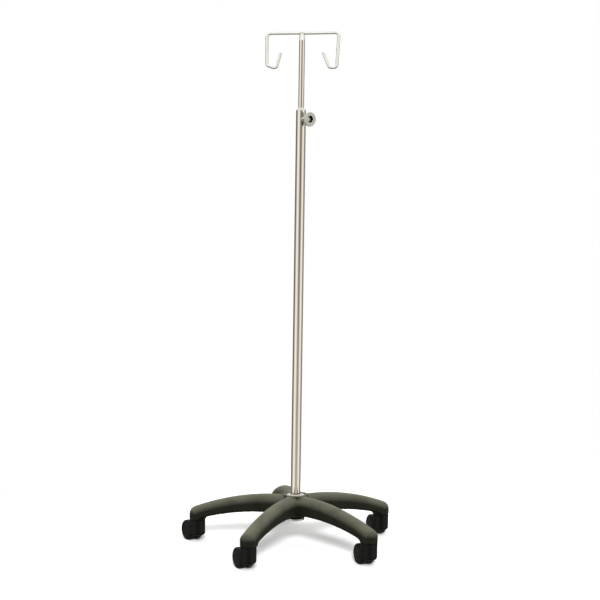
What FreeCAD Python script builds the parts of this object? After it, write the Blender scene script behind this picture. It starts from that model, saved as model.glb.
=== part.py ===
"""A mobile infusion stand: five-leg nylon base on twin-wheel casters, telescoping pole, two-hook top.

Lengths are in millimetres and angles in degrees. The origin is on the floor, on the pole's axis.
+Z is up, -Y is the front of the stand, and the hook bar lies along X.
"""

import FreeCAD, Part
import math
import os
import types

import Sketcher
from FreeCAD import Placement, Rotation, Vector

# Driving dimensions. Each one is a cell of the document's spreadsheet.
DIMENSIONS = {
    # legs
    "leg_count": 5,
    "first_leg_angle": 27.83,
    "caster_circle_radius": 260.0,
    "leg_crown_height": 137.0,
    "leg_crown_start": 48.0,
    "leg_crown_sag": 0.0009,
    "leg_underside_height": 90.3,
    "leg_underside_start": 82.0,
    "leg_underside_sag": 0.000915,
    "leg_start": 26.0,
    "leg_root_half_width": 23.0,
    "leg_tip_half_width": 20.3,
    "leg_overrun": 0.5,
    "leg_wall": 4.0,
    "leg_pocket_start": 44.0,
    "leg_pocket_end": 234.0,
    "leg_rib": 3.0,
    "tip_radius": 21.2,
    "tip_spring_height": 72.3,
    "tip_bottom_height": 61.0,
    # hub
    "hub_radius": 39.5,
    "hub_shoulder_height": 114.0,
    "hub_shoulder_round": 15.0,
    "hub_skirt_height": 87.0,
    "hub_boss_radius": 25.0,
    "hub_bottom_height": 76.7,
    "hub_ledge_height": 84.0,
    "hub_rim_radius": 31.0,
    "hub_rim_height": 139.3,
    "hub_recess_height": 135.0,
    "bolt_hole_radius": 5.5,
    # parts at the hub
    "flange_radius": 23.5,
    "flange_thickness": 3.0,
    "flange_collar": 1.9,
    "flange_collar_height": 1.8,
    "washer_radius": 24.0,
    "washer_bottom_height": 72.0,
    "bolt_radius": 5.0,
    "bolt_head_radius": 10.0,
    "bolt_top_height": 104.0,
    "bolt_key_width": 6.0,
    "bolt_key_depth": 3.6,
    "plug_top_height": 109.0,
    # outer tube
    "tube_radius": 12.7,
    "tube_wall": 1.5,
    "tube_top_height": 1133.0,
    "bushing_bottom_height": 1086.0,
    "bushing_cone_height": 7.0,
    "bushing_lip": 1.2,
    # inner pole
    "pole_radius": 7.5,
    "pole_wall": 1.2,
    "pole_bottom_height": 285.0,
    "pole_top_height": 1309.0,
    "pole_bead_depth": 0.9,
    "pole_bead_height": 3.0,
    "pole_plug_length": 25.0,
    "pole_plug_flange_radius": 9.8,
    "pole_plug_flange_thickness": 3.0,
    "glide_length": 30.0,
    "glide_play": 0.1,
    # hooks
    "rod_radius": 4.0,
    "bar_height": 1327.0,
    "bar_level_half_length": 10.0,
    "bar_bend_radius": 30.0,
    "hook_corner_radius": 9.0,
    "hook_bar_rise_right": 3.0,
    "hook_outer_right": 93.2,
    "hook_foot_right": 88.8,
    "hook_inner_right": 70.0,
    "hook_bottom_right": 1242.0,
    "hook_seat_rise_right": 0.5,
    "hook_tip_height_right": 1280.5,
    "hook_bar_rise_left": -2.2,
    "hook_outer_left": 88.7,
    "hook_foot_left": 88.7,
    "hook_inner_left": 64.8,
    "hook_bottom_left": 1237.5,
    "hook_seat_rise_left": 7.5,
    "hook_tip_height_left": 1278.0,
    "hook_tip_reach": 53.8,
    "hook_bend_radius": 8.0,
    "hook_end_round": 2.6,
    "neck_radius": 6.0,
    "neck_spigot": 30.0,
    # clamp
    "clamp_angle": 38.0,
    "clamp_height": 1111.0,
    "clamp_hole_radius": 4.2,
    "boss_radius": 6.8,
    "boss_reach": 21.7,
    "screw_hole_radius": 4.0,
    "screw_play": 0.05,
    "screw_end_reach": 31.0,
    "pad_radius": 3.6,
    "pad_thickness": 2.8,
    "pad_play": 0.02,
    "knob_radius": 18.4,
    "insert_start_reach": 24.0,
    "knob_rim_reach": 34.6,
    "knob_face_reach": 39.0,
    "knob_neck_radius": 8.6,
    "knob_neck_reach": 22.4,
    "knob_cone_reach": 25.4,
    "knob_recess_radius": 8.9,
    "knob_recess_depth": 10.5,
    "knob_edge_round": 2.0,
    "insert_radius": 6.2,
    "insert_length": 6.8,
    # casters
    "wheel_radius": 26.5,
    "wheel_inner_face": 5.0,
    "wheel_outer_face": 20.0,
    "wheel_tread_round": 5.0,
    "wheel_web_recess": 1.6,
    "wheel_hub_radius": 8.0,
    "wheel_rim_radius": 21.5,
    "cap_radius": 18.6,
    "cap_seat": 17.5,
    "cap_edge": 19.6,
    "cap_crown": 20.6,
    "cap_chamfer": 0.9,
    "trail": 26.7,
    "housing_radius": 20.6,
    "housing_bottom_height": 17.0,
    "housing_top_height": 60.1,
    "housing_edge_round": 8.0,
    "housing_top_round": 0.8,
    "web_half_thickness": 4.2,
    "web_radius": 21.5,
    "wheel_gap": 1.5,
    "axle_radius": 3.0,
    "axle_half_length": 17.0,
    "running_play": 0.05,
    "swivel_gap": 0.1,
    "stem_radius": 5.5,
    "stem_bottom_height": 37.0,
    "stem_top_height": 84.0,
    "stem_chamfer": 1.0,
    "stem_collar_radius": 10.0,
    "ring_bottom_height": 76.0,
    "ring_height": 3.0,
    "ring_groove": 0.9,
    "ring_slot": 2.0,
    "socket_radius": 7.0,
    "socket_depth": 26.0,
    "socket_top_gap": 1.0,
    # edges
    "edge_chamfer": 1.0,
    "small_chamfer": 0.6,
    "lip_chamfer": 0.3,
    "end_gap": 0.5,
}

# Each caster's leg, counted round from the first one, and the way its wheels trail from its swivel.
CASTERS = [
    ("right_rear", 113.0),
    ("rear", 108.0),
    ("left", 124.0),
    ("left_front", 118.0),
    ("right_front", 114.0),
]

FULL_TURN = 360.0
# How far a cutting outline runs past the face that it opens.
OVERSHOOT = 6.0
# How near two measures of a shape must be to count as the same.
TOLERANCE = 0.01
# Where a leg's sections stand, as shares of its length.
LEG_STATIONS = (0, 0.2, 0.4, 0.6, 0.8, 1)
# The sizes that each of the two hooks has of its own.
HOOK_SIZES = ("bar_rise", "outer", "foot", "inner", "bottom", "seat_rise", "tip_height")


class Size:
    """A dimension: its value now, and the spreadsheet expression that gives it."""

    def __init__(self, value, text):
        self.value = value
        self.text = text

    def __add__(self, other):
        other = as_size(other)
        return Size(self.value + other.value, f"({self.text} + {other.text})")

    def __sub__(self, other):
        other = as_size(other)
        return Size(self.value - other.value, f"({self.text} - {other.text})")

    def __mul__(self, other):
        other = as_size(other)
        return Size(self.value * other.value, f"({self.text} * {other.text})")

    def __truediv__(self, other):
        other = as_size(other)
        return Size(self.value / other.value, f"({self.text} / {other.text})")

    def __neg__(self):
        return self * -1


def as_size(number):
    """Wrap a plain number, so that it can stand beside a dimension."""
    if isinstance(number, Size):
        return number
    return Size(float(number), f"({float(number):.9g})")


def squared(size):
    return size * size


def root(size):
    return Size(math.sqrt(size.value), f"sqrt({size.text})")


def make_sheet():
    """Write the driving dimensions into a spreadsheet and return them as sizes."""
    sheet = doc.addObject("Spreadsheet::Sheet", "Dimensions")
    for row, (name, value) in enumerate(DIMENSIONS.items(), start=1):
        sheet.set(f"A{row}", name)
        sheet.set(f"B{row}", str(value))
        sheet.setAlias(f"B{row}", name)
    sizes = {name: Size(float(value), f"Dimensions.{name}") for name, value in DIMENSIONS.items()}
    return types.SimpleNamespace(**sizes)


# ---------------------------------------------------------------- modelling helpers


def bind(thing, name, size):
    """Set a property to a dimension and keep it bound to the spreadsheet."""
    size = as_size(size)
    setattr(thing, name, size.value)
    thing.setExpression(name, size.text)


def new_body(name):
    body = doc.addObject("PartDesign::Body", name)
    body.Label = name
    return body


def new_sketch(body, name, plane, offset=None):
    """A sketch on one of the body's own origin planes, moved along its normal by an offset."""
    sketch = body.newObject("Sketcher::SketchObject", f"{body.Name}_{name}")
    support = next(item for item in body.Origin.OriginFeatures if item.Role == plane)
    sketch.AttachmentSupport = [(support, "")]
    sketch.MapMode = "FlatFace"
    if offset is not None:
        sketch.AttachmentOffset = Placement(Vector(0, 0, offset.value), Rotation())
        sketch.setExpression("AttachmentOffset.Base.z", offset.text)
    return sketch


def hold(sketch, kind, geometry, position, size):
    """Dimension one coordinate of a point from the sketch's origin."""
    constraint = Sketcher.Constraint(kind, -1, 1, geometry, position, size.value)
    index = sketch.addConstraint(constraint)
    sketch.setExpression(f"Constraints[{index}]", size.text)


def hold_point(sketch, geometry, position, corner):
    hold(sketch, "DistanceX", geometry, position, corner[0])
    hold(sketch, "DistanceY", geometry, position, corner[1])


def arc_between(start, end, centre, turn):
    """The arc from start to end round a centre; turn is +1 anticlockwise and -1 clockwise."""
    first, last = (start, end) if turn > 0 else (end, start)
    angles = [math.atan2(point.y - centre.y, point.x - centre.x) for point in (first, last)]
    if angles[1] <= angles[0]:
        angles[1] += math.tau
    circle = Part.Circle(centre, Vector(0, 0, 1), (start - centre).Length)
    return Part.ArcOfCircle(circle, angles[0], angles[1])


def draw(sketch, corners, arcs=None, closed=True):
    """Draw an outline through the corners and dimension it fully.

    arcs says which stretches are round: {index of the stretch's first corner: (centre, turn)}.
    """
    arcs = arcs or {}
    corners = [(as_size(x), as_size(y)) for x, y in corners]
    points = [Vector(x.value, y.value, 0) for x, y in corners]
    count = len(corners) if closed else len(corners) - 1
    ends = []
    for index in range(count):
        start = points[index]
        end = points[(index + 1) % len(points)]
        if index in arcs:
            centre, turn = arcs[index]
            centre = (as_size(centre[0]), as_size(centre[1]))
            middle = Vector(centre[0].value, centre[1].value, 0)
            geometry = sketch.addGeometry(arc_between(start, end, middle, turn), False)
            ends.append((geometry, 1, 2) if turn > 0 else (geometry, 2, 1))
            # the ends fix the centre to their bisector, so it needs only the coordinate along it
            if abs(end.y - start.y) > abs(end.x - start.x):
                hold(sketch, "DistanceX", geometry, 3, centre[0])
            else:
                hold(sketch, "DistanceY", geometry, 3, centre[1])
        else:
            geometry = sketch.addGeometry(Part.LineSegment(start, end), False)
            ends.append((geometry, 1, 2))
        hold_point(sketch, geometry, ends[-1][1], corners[index])
    for (geometry, _, last), (following, first, _) in zip(ends, ends[1:]):
        sketch.addConstraint(Sketcher.Constraint("Coincident", geometry, last, following, first))
    if closed:
        joint = (ends[-1][0], ends[-1][2], ends[0][0], ends[0][1])
        sketch.addConstraint(Sketcher.Constraint("Coincident", *joint))
    else:
        hold_point(sketch, ends[-1][0], ends[-1][2], corners[-1])


def draw_circle(sketch, x, y, radius):
    centre = (as_size(x), as_size(y))
    radius = as_size(radius)
    middle = Vector(centre[0].value, centre[1].value, 0)
    circle = Part.Circle(middle, Vector(0, 0, 1), radius.value)
    geometry = sketch.addGeometry(circle, False)
    hold_point(sketch, geometry, 3, centre)
    index = sketch.addConstraint(Sketcher.Constraint("Radius", geometry, radius.value))
    sketch.setExpression(f"Constraints[{index}]", radius.text)


def turn_about_z(body, name, corners, arcs=None, kind="PartDesign::Revolution"):
    """Turn an outline of (radius, height) corners about the body's Z axis."""
    sketch = new_sketch(body, f"{name}_outline", "XZ_Plane")
    draw(sketch, corners, arcs)
    feature = body.newObject(kind, f"{body.Name}_{name}")
    feature.Profile = sketch
    feature.ReferenceAxis = (sketch, ["V_Axis"])
    feature.Angle = FULL_TURN
    return feature


def turned_body(name, corners, arcs=None):
    body = new_body(name)
    turn_about_z(body, "turning", corners, arcs)
    return body


def cut_from(body, name, sketch, length=None, backwards=False, both_ways=False):
    """Pocket a sketch out of the body, and stop if it takes nothing away."""
    doc.recompute()
    before = body.Shape.Volume
    pocket = body.newObject("PartDesign::Pocket", f"{body.Name}_{name}")
    pocket.Profile = sketch
    pocket.Reversed = backwards
    if both_ways:
        pocket.Midplane = True
    if length is None:
        pocket.Type = "ThroughAll"
    else:
        bind(pocket, "Length", length)
    doc.recompute()
    if body.Shape.Volume > before - TOLERANCE:
        raise RuntimeError(f"{body.Name}_{name} cuts nothing")
    return pocket


def pad_sketch(body, name, sketch, length, both_ways=False):
    pad = body.newObject("PartDesign::Pad", f"{body.Name}_{name}")
    pad.Profile = sketch
    pad.Midplane = both_ways
    bind(pad, "Length", length)
    return pad


def round_edges(body, name, radius, wanted, kind="PartDesign::Fillet", size_name="Radius"):
    """Fillet or chamfer the edges of the body's tip that wanted(edge) picks."""
    doc.recompute()
    base = body.Tip
    names = [f"Edge{i}" for i, edge in enumerate(base.Shape.Edges, start=1) if wanted(edge)]
    if not names:
        raise RuntimeError(f"{body.Name}_{name} finds no edge")
    feature = body.newObject(kind, f"{body.Name}_{name}")
    feature.Base = (base, names)
    bind(feature, size_name, radius)
    return feature


def is_ring(edge, radius, height):
    """Is the edge a round one of this radius about the body's Z axis, at this height?"""
    if not isinstance(edge.Curve, Part.Circle):
        return False
    centre = edge.Curve.Center
    off_axis = math.hypot(centre.x, centre.y)
    return max(abs(edge.Curve.Radius - radius), abs(centre.z - height), off_axis) < TOLERANCE


def stand_on_clamp_axis(body):
    """Lay a body turned about Z along the clamp's axis, which leaves the pole at the clamp angle."""
    angle = math.radians(d.clamp_angle.value)
    outward = Vector(math.sin(angle), -math.cos(angle), 0)
    body.Placement = Placement(
        Vector(0, 0, d.clamp_height.value), Rotation(Vector(0, 0, 1), outward)
    )


def turn_to_clamp(body):
    """Turn a body whose clamp side was drawn facing -Y to the clamp angle."""
    body.Placement = Placement(Vector(), Rotation(Vector(0, 0, 1), d.clamp_angle.value))


# ---------------------------------------------------------------- base


def leg_section(reach):
    """Half width, crown height and underside height of a leg at a distance from the pole's axis."""
    share = reach / d.caster_circle_radius
    half_width = d.leg_root_half_width + (d.leg_tip_half_width - d.leg_root_half_width) * share
    crown = d.leg_crown_height - d.leg_crown_sag * squared(reach - d.leg_crown_start)
    underside = d.leg_underside_height - d.leg_underside_sag * squared(reach - d.leg_underside_start)
    return half_width, crown, underside


def arch_sketch(body, name, reach, wall, drop):
    """An arch across a leg: its outside when wall is 0, or its hollow, which opens downward."""
    half_width, crown, underside = leg_section(reach)
    half_width = half_width - wall
    spring = crown - wall - half_width
    foot = underside - drop
    sketch = new_sketch(body, name, "YZ_Plane", reach)
    corners = [(-half_width, foot), (half_width, foot), (half_width, spring), (-half_width, spring)]
    draw(sketch, corners, {2: ((0, spring), 1)})
    return sketch


def loft(body, name, kind, sketches):
    feature = body.newObject(kind, f"{body.Name}_{name}")
    feature.Profile = sketches[0]
    feature.Sections = sketches[1:]
    return feature


def make_leg(body):
    """One leg along +X: an arched beam, whose sections follow the leg's curves."""
    span = d.caster_circle_radius + d.leg_overrun - d.leg_start
    reaches = [d.leg_start + span * share for share in LEG_STATIONS]
    sketches = [arch_sketch(body, f"leg_{i}", reach, as_size(0), 0) for i, reach in enumerate(reaches)]
    return loft(body, "leg", "PartDesign::AdditiveLoft", sketches)


def make_bays(body):
    """The hollow under the leg, in bays with a rib left between each two."""
    bays = 4
    pitch = (d.leg_pocket_end - d.leg_pocket_start + d.leg_rib) / bays
    features = []
    for bay in range(bays):
        start = d.leg_pocket_start + pitch * bay
        ends = (start, start + pitch - d.leg_rib)
        sketches = [
            arch_sketch(body, f"bay_{bay}_{i}", reach, d.leg_wall, OVERSHOOT) for i, reach in enumerate(ends)
        ]
        features.append(loft(body, f"bay_{bay}", "PartDesign::SubtractiveLoft", sketches))
    return features


def make_tip(body):
    """The upright socket at a leg's tip, with a round top."""
    radius = d.tip_radius
    spring = d.tip_spring_height
    centre = d.caster_circle_radius
    sketch = new_sketch(body, "tip_outline", "XZ_Plane")
    corners = [
        (centre, d.tip_bottom_height),
        (centre + radius, d.tip_bottom_height),
        (centre + radius, spring),
        (centre, spring + radius),
    ]
    draw(sketch, corners, {2: ((centre, spring), 1)})
    tip = body.newObject("PartDesign::Revolution", f"{body.Name}_tip")
    tip.Profile = sketch
    # the outline's last stretch, from its crown to its foot, is the axis
    tip.ReferenceAxis = (sketch, ["Edge4"])
    tip.Angle = FULL_TURN
    return tip


def make_socket_bore(body):
    sketch = new_sketch(body, "socket_bore_outline", "XY_Plane", d.tip_bottom_height)
    draw_circle(sketch, d.caster_circle_radius, 0, d.socket_radius)
    return cut_from(body, "socket_bore", sketch, d.socket_depth, backwards=True)


def make_hub(body):
    """The hub swallows the legs' roots: a round shoulder below its rim, and a boss underneath."""
    shoulder = d.hub_radius - d.hub_shoulder_round
    across = d.hub_rim_radius - shoulder
    rise = root(squared(d.hub_shoulder_round) - squared(across))
    corners = [
        (0, d.hub_bottom_height),
        (d.hub_boss_radius, d.hub_bottom_height),
        (d.hub_boss_radius, d.hub_skirt_height),
        (d.hub_radius, d.hub_skirt_height),
        (d.hub_radius, d.hub_shoulder_height),
        (d.hub_rim_radius, d.hub_shoulder_height + rise),
        (d.hub_rim_radius, d.hub_rim_height),
        (0, d.hub_rim_height),
    ]
    turn_about_z(body, "hub", corners, {4: ((shoulder, d.hub_shoulder_height), 1)})


def make_hub_bore(body):
    """The recess for the flange, the socket for the pole with its ledge, and the bolt's hole."""
    socket = d.tube_radius + d.running_play
    above = d.hub_rim_height + OVERSHOOT
    below = d.hub_bottom_height - OVERSHOOT
    rim_inside = d.flange_radius + d.end_gap
    corners = [
        (0, below),
        (d.bolt_hole_radius, below),
        (d.bolt_hole_radius, d.hub_ledge_height),
        (socket, d.hub_ledge_height),
        (socket, d.hub_recess_height),
        (rim_inside, d.hub_recess_height),
        (rim_inside, above),
        (0, above),
    ]
    doc.recompute()
    before = body.Shape.Volume
    turn_about_z(body, "bore", corners, kind="PartDesign::Groove")
    doc.recompute()
    if body.Shape.Volume > before - TOLERANCE:
        raise RuntimeError("the hub's bore cuts nothing")


def repeat_on_legs(body, name, features):
    """Repeat features of the first leg round the pole's axis, once for each leg."""
    doc.recompute()
    before = body.Shape.Volume
    pattern = body.newObject("PartDesign::PolarPattern", f"{body.Name}_{name}")
    pattern.Originals = features
    axis = next(item for item in body.Origin.OriginFeatures if item.Role == "Z_Axis")
    pattern.Axis = (axis, [""])
    pattern.Angle = FULL_TURN
    pattern.Occurrences = DIMENSIONS["leg_count"]
    pattern.setExpression("Occurrences", d.leg_count.text)
    body.Tip = pattern
    doc.recompute()
    if abs(body.Shape.Volume - before) < TOLERANCE or len(body.Shape.Solids) != 1:
        raise RuntimeError(f"{body.Name}_{name} repeats nothing")


def make_base():
    body = new_body("base_spider")
    make_hub(body)
    repeat_on_legs(body, "legs", [make_leg(body)])
    repeat_on_legs(body, "tips", [make_tip(body)])
    repeat_on_legs(body, "bays", make_bays(body))
    repeat_on_legs(body, "bores", [make_socket_bore(body)])
    make_hub_bore(body)
    body.Placement = Placement(Vector(), Rotation(Vector(0, 0, 1), d.first_leg_angle.value))
    return body


def make_stem_sockets():
    """Steel sleeves in the five leg tips, as one group of solids."""
    inner = d.stem_radius + d.running_play
    top = d.tip_bottom_height + d.socket_depth - d.socket_top_gap
    sleeves = []
    for number in range(DIMENSIONS["leg_count"]):
        wall = doc.addObject("Part::Cylinder", f"socket_wall_{number}")
        bind(wall, "Radius", d.socket_radius)
        bind(wall, "Height", top - d.tip_bottom_height)
        bore = doc.addObject("Part::Cylinder", f"socket_bore_{number}")
        bind(bore, "Radius", inner)
        bind(bore, "Height", top - d.tip_bottom_height)
        angle = math.radians(leg_angle(number))
        reach = d.caster_circle_radius.value
        foot = Vector(
            reach * math.cos(angle), reach * math.sin(angle), d.tip_bottom_height.value
        )
        wall.Placement = Placement(foot, Rotation())
        bore.Placement = Placement(foot, Rotation())
        sleeve = doc.addObject("Part::Cut", f"socket_sleeve_{number}")
        sleeve.Base = wall
        sleeve.Tool = bore
        sleeves.append(sleeve)
    group = doc.addObject("Part::Compound", "stem_sockets")
    group.Label = "stem_sockets"
    group.Links = sleeves
    return group


def make_top_flange():
    """The plated disc round the pole's foot, with a low collar."""
    floor = d.hub_recess_height
    face = floor + d.flange_thickness
    collar = d.tube_radius + d.flange_collar
    corners = [
        (d.tube_radius, floor),
        (d.flange_radius, floor),
        (d.flange_radius, face - d.edge_chamfer),
        (d.flange_radius - d.edge_chamfer, face),
        (collar + d.small_chamfer, face),
        (collar, face + d.small_chamfer),
        (collar, face + d.flange_collar_height - d.small_chamfer),
        (collar - d.small_chamfer, face + d.flange_collar_height),
        (d.tube_radius, face + d.flange_collar_height),
    ]
    return turned_body("top_flange", corners)


def make_bottom_washer():
    """The thick washer under the hub, countersunk for the bolt's head."""
    lower = d.washer_bottom_height
    upper = d.hub_bottom_height
    seat = d.bolt_head_radius - d.bolt_hole_radius
    corners = [
        (d.bolt_head_radius, lower),
        (d.washer_radius - d.edge_chamfer, lower),
        (d.washer_radius, lower + d.edge_chamfer),
        (d.washer_radius, upper),
        (d.bolt_hole_radius, upper),
        (d.bolt_hole_radius, lower + seat),
    ]
    return turned_body("bottom_washer", corners)


def make_base_bolt():
    """The countersunk socket bolt that draws the pole down into the hub."""
    lower = d.washer_bottom_height
    cone = d.bolt_head_radius - d.bolt_radius
    corners = [
        (0, lower),
        (d.bolt_head_radius, lower),
        (d.bolt_radius, lower + cone),
        (d.bolt_radius, d.bolt_top_height - d.edge_chamfer),
        (d.bolt_radius - d.edge_chamfer, d.bolt_top_height),
        (0, d.bolt_top_height),
    ]
    body = turned_body("base_bolt", corners)
    sketch = new_sketch(body, "key_outline", "XY_Plane", lower)
    corner_radius = d.bolt_key_width / math.sqrt(3)
    angles = [math.radians(60 * step) for step in range(6)]
    draw(sketch, [(corner_radius * math.cos(a), corner_radius * math.sin(a)) for a in angles])
    cut_from(body, "key", sketch, d.bolt_key_depth, backwards=True)
    return body


def make_tube_plug():
    """The threaded plug pressed into the foot of the outer tube."""
    outer = d.tube_radius - d.tube_wall
    corners = [
        (d.bolt_radius, d.hub_ledge_height),
        (outer, d.hub_ledge_height),
        (outer, d.plug_top_height - d.edge_chamfer),
        (outer - d.edge_chamfer, d.plug_top_height),
        (d.bolt_radius, d.plug_top_height),
    ]
    return turned_body("tube_plug", corners)


# ---------------------------------------------------------------- pole


def clamp_hole(body, radius):
    """A hole through the wall on the clamp's side, which is drawn facing -Y."""
    sketch = new_sketch(body, "clamp_hole_outline", "XZ_Plane")
    draw_circle(sketch, 0, d.clamp_height, radius)
    cut_from(body, "clamp_hole", sketch, backwards=True)


def make_outer_tube():
    inner = d.tube_radius - d.tube_wall
    corners = [
        (inner, d.hub_ledge_height),
        (d.tube_radius, d.hub_ledge_height),
        (d.tube_radius, d.tube_top_height),
        (inner, d.tube_top_height),
    ]
    body = turned_body("outer_tube", corners)
    clamp_hole(body, d.clamp_hole_radius)
    turn_to_clamp(body)
    return body


def make_guide_bushing():
    """The sleeve in the outer tube's mouth that steadies the inner pole, with a conical top."""
    inner = d.pole_radius + d.running_play
    outer = d.tube_radius - d.tube_wall
    top = d.tube_top_height + d.bushing_cone_height
    corners = [
        (inner, d.bushing_bottom_height),
        (outer, d.bushing_bottom_height),
        (outer, d.tube_top_height),
        (d.tube_radius - d.lip_chamfer, d.tube_top_height),
        (d.tube_radius - d.lip_chamfer, d.tube_top_height + d.edge_chamfer),
        (inner + d.bushing_lip, top - d.small_chamfer),
        (inner + d.bushing_lip - d.small_chamfer, top),
        (inner, top),
    ]
    body = turned_body("guide_bushing", corners)
    clamp_hole(body, d.clamp_hole_radius)
    turn_to_clamp(body)
    return body


def make_inner_tube():
    """The inner pole, with a rolled bead that keeps the glide ring on its foot."""
    inner = d.pole_radius - d.pole_wall
    bead = d.pole_bottom_height + d.glide_length + d.edge_chamfer
    bulge = d.pole_radius + d.pole_bead_depth
    corners = [
        (inner, d.pole_bottom_height),
        (d.pole_radius, d.pole_bottom_height),
        (d.pole_radius, bead),
        (bulge, bead + d.pole_bead_height / 3),
        (bulge, bead + d.pole_bead_height / 1.5),
        (d.pole_radius, bead + d.pole_bead_height),
        (d.pole_radius, d.pole_top_height),
        (inner, d.pole_top_height),
    ]
    return turned_body("inner_tube", corners)


def make_glide_ring():
    """The nylon ring that runs in the outer tube and turns on the foot of the inner pole."""
    inner = d.pole_radius + d.running_play
    outer = d.tube_radius - d.tube_wall - d.glide_play
    lower = d.pole_bottom_height + d.lip_chamfer
    upper = d.pole_bottom_height + d.glide_length
    corners = [
        (inner, lower),
        (outer - d.edge_chamfer, lower),
        (outer, lower + d.edge_chamfer),
        (outer, upper - d.edge_chamfer),
        (outer - d.edge_chamfer, upper),
        (inner, upper),
    ]
    return turned_body("glide_ring", corners)


def make_inner_tube_plug():
    """The flanged plug in the foot of the inner pole."""
    spigot = d.pole_radius - d.pole_wall
    flange = d.pole_plug_flange_radius
    foot = d.pole_bottom_height - d.pole_plug_flange_thickness
    top = d.pole_bottom_height + d.pole_plug_length
    corners = [
        (0, foot),
        (flange - d.small_chamfer, foot),
        (flange, foot + d.small_chamfer),
        (flange, d.pole_bottom_height),
        (spigot, d.pole_bottom_height),
        (spigot, top - d.edge_chamfer),
        (spigot - d.edge_chamfer, top),
        (0, top),
    ]
    return turned_body("inner_tube_plug", corners)


def make_hook_plug():
    """The plug in the inner pole's top: a tapered neck, saddled to the bar that is welded on it."""
    spigot = d.pole_radius - d.pole_wall
    corners = [
        (0, d.pole_top_height - d.neck_spigot),
        (spigot, d.pole_top_height - d.neck_spigot),
        (spigot, d.pole_top_height),
        (d.pole_radius, d.pole_top_height),
        (d.neck_radius, d.bar_height),
        (0, d.bar_height),
    ]
    body = turned_body("hook_plug", corners)
    sketch = new_sketch(body, "saddle_outline", "YZ_Plane")
    draw_circle(sketch, 0, d.bar_height, d.rod_radius)
    cut_from(body, "saddle", sketch, both_ways=True)
    return body


def rounded_path(points, radii):
    """Corners and arcs of a path that rounds each inner point with an arc of the given radius."""
    corners = [points[0]]
    arcs = {}
    for before, point, after, radius in zip(points, points[1:], points[2:], radii):
        back = unit(before, point)
        ahead = unit(after, point)
        # the tangent points lie radius / tan(half the corner's angle) from the point
        cos_corner = back[0] * ahead[0] + back[1] * ahead[1]
        setback = radius * root((cos_corner + 1) / (-cos_corner + 1))
        reach = radius / root((-cos_corner + 1) / 2)
        mean = unit((back[0] + ahead[0], back[1] + ahead[1]), (as_size(0), as_size(0)))
        centre = (point[0] + mean[0] * reach, point[1] + mean[1] * reach)
        turn = 1 if back[0].value * ahead[1].value - back[1].value * ahead[0].value < 0 else -1
        arcs[len(corners)] = (centre, turn)
        corners.append((point[0] + back[0] * setback, point[1] + back[1] * setback))
        corners.append((point[0] + ahead[0] * setback, point[1] + ahead[1] * setback))
    corners.append(points[-1])
    return corners, arcs


def unit(towards, start):
    """The direction from one point to another, as a pair of sizes."""
    across = towards[0] - start[0]
    up = towards[1] - start[1]
    length = root(squared(across) + squared(up))
    return across / length, up / length


def make_hook_bar():
    """One bent rod: the bar across the top, a little out of level, and an upturned hook at each end."""
    body = new_body("hook_bar")
    tip_heights = []
    for side, name in ((1, "right"), (-1, "left")):
        section = new_sketch(body, f"section_{name}", "YZ_Plane")
        draw_circle(section, 0, d.bar_height, d.rod_radius)
        own = {size: getattr(d, f"hook_{size}_{name}") for size in HOOK_SIZES}
        points = [
            (as_size(0), d.bar_height),
            (d.bar_level_half_length * side, d.bar_height),
            (own["outer"] * side, d.bar_height + own["bar_rise"]),
            (own["foot"] * side, own["bottom"] + own["seat_rise"]),
            (own["inner"] * side, own["bottom"]),
            (d.hook_tip_reach * side, own["tip_height"]),
        ]
        radii = [d.bar_bend_radius, d.hook_corner_radius, d.hook_bend_radius, d.hook_bend_radius]
        corners, arcs = rounded_path(points, radii)
        route = new_sketch(body, f"route_{name}", "XZ_Plane")
        draw(route, corners, arcs, closed=False)
        pipe = body.newObject("PartDesign::AdditivePipe", f"hook_bar_{name}")
        pipe.Profile = section
        pipe.Spine = route
        tip_heights.append(own["tip_height"].value)

    def is_end(edge):
        return any(abs(edge.CenterOfMass.z - height) < TOLERANCE for height in tip_heights)

    round_edges(body, "ends", d.hook_end_round, is_end)
    return body


# ---------------------------------------------------------------- clamp


def make_clamp_boss():
    """The threaded boss welded on the outer tube, saddled to it."""
    body = new_body("clamp_boss")
    ring = new_sketch(body, "ring", "XZ_Plane")
    draw_circle(ring, 0, d.clamp_height, d.boss_radius)
    draw_circle(ring, 0, d.clamp_height, d.screw_hole_radius)
    pad_sketch(body, "pad", ring, d.boss_reach)
    saddle = new_sketch(body, "saddle_outline", "XY_Plane", d.clamp_height)
    draw_circle(saddle, 0, 0, d.tube_radius)
    cut_from(body, "saddle", saddle, both_ways=True)

    def is_outer_rim(edge):
        if not isinstance(edge.Curve, Part.Circle):
            return False
        at_end = abs(edge.CenterOfMass.y + d.boss_reach.value) < TOLERANCE
        return at_end and abs(edge.Curve.Radius - d.boss_radius.value) < TOLERANCE

    round_edges(body, "rim", d.small_chamfer, is_outer_rim, "PartDesign::Chamfer", "Size")
    turn_to_clamp(body)
    return body


def make_pressure_pad():
    """The nylon button between the screw's end and the inner pole."""
    start = d.pole_radius + d.pad_play
    corners = [
        (0, start),
        (d.pad_radius, start),
        (d.pad_radius, start + d.pad_thickness),
        (0, start + d.pad_thickness),
    ]
    body = turned_body("pressure_pad", corners)
    stand_on_clamp_axis(body)
    return body


def make_clamp_screw():
    start = d.pole_radius + d.pad_play + d.pad_thickness
    radius = d.screw_hole_radius - d.screw_play
    corners = [
        (0, start),
        (radius - d.small_chamfer, start),
        (radius, start + d.small_chamfer),
        (radius, d.screw_end_reach - d.small_chamfer),
        (radius - d.small_chamfer, d.screw_end_reach),
        (0, d.screw_end_reach),
    ]
    body = turned_body("clamp_screw", corners)
    stand_on_clamp_axis(body)
    return body


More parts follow.
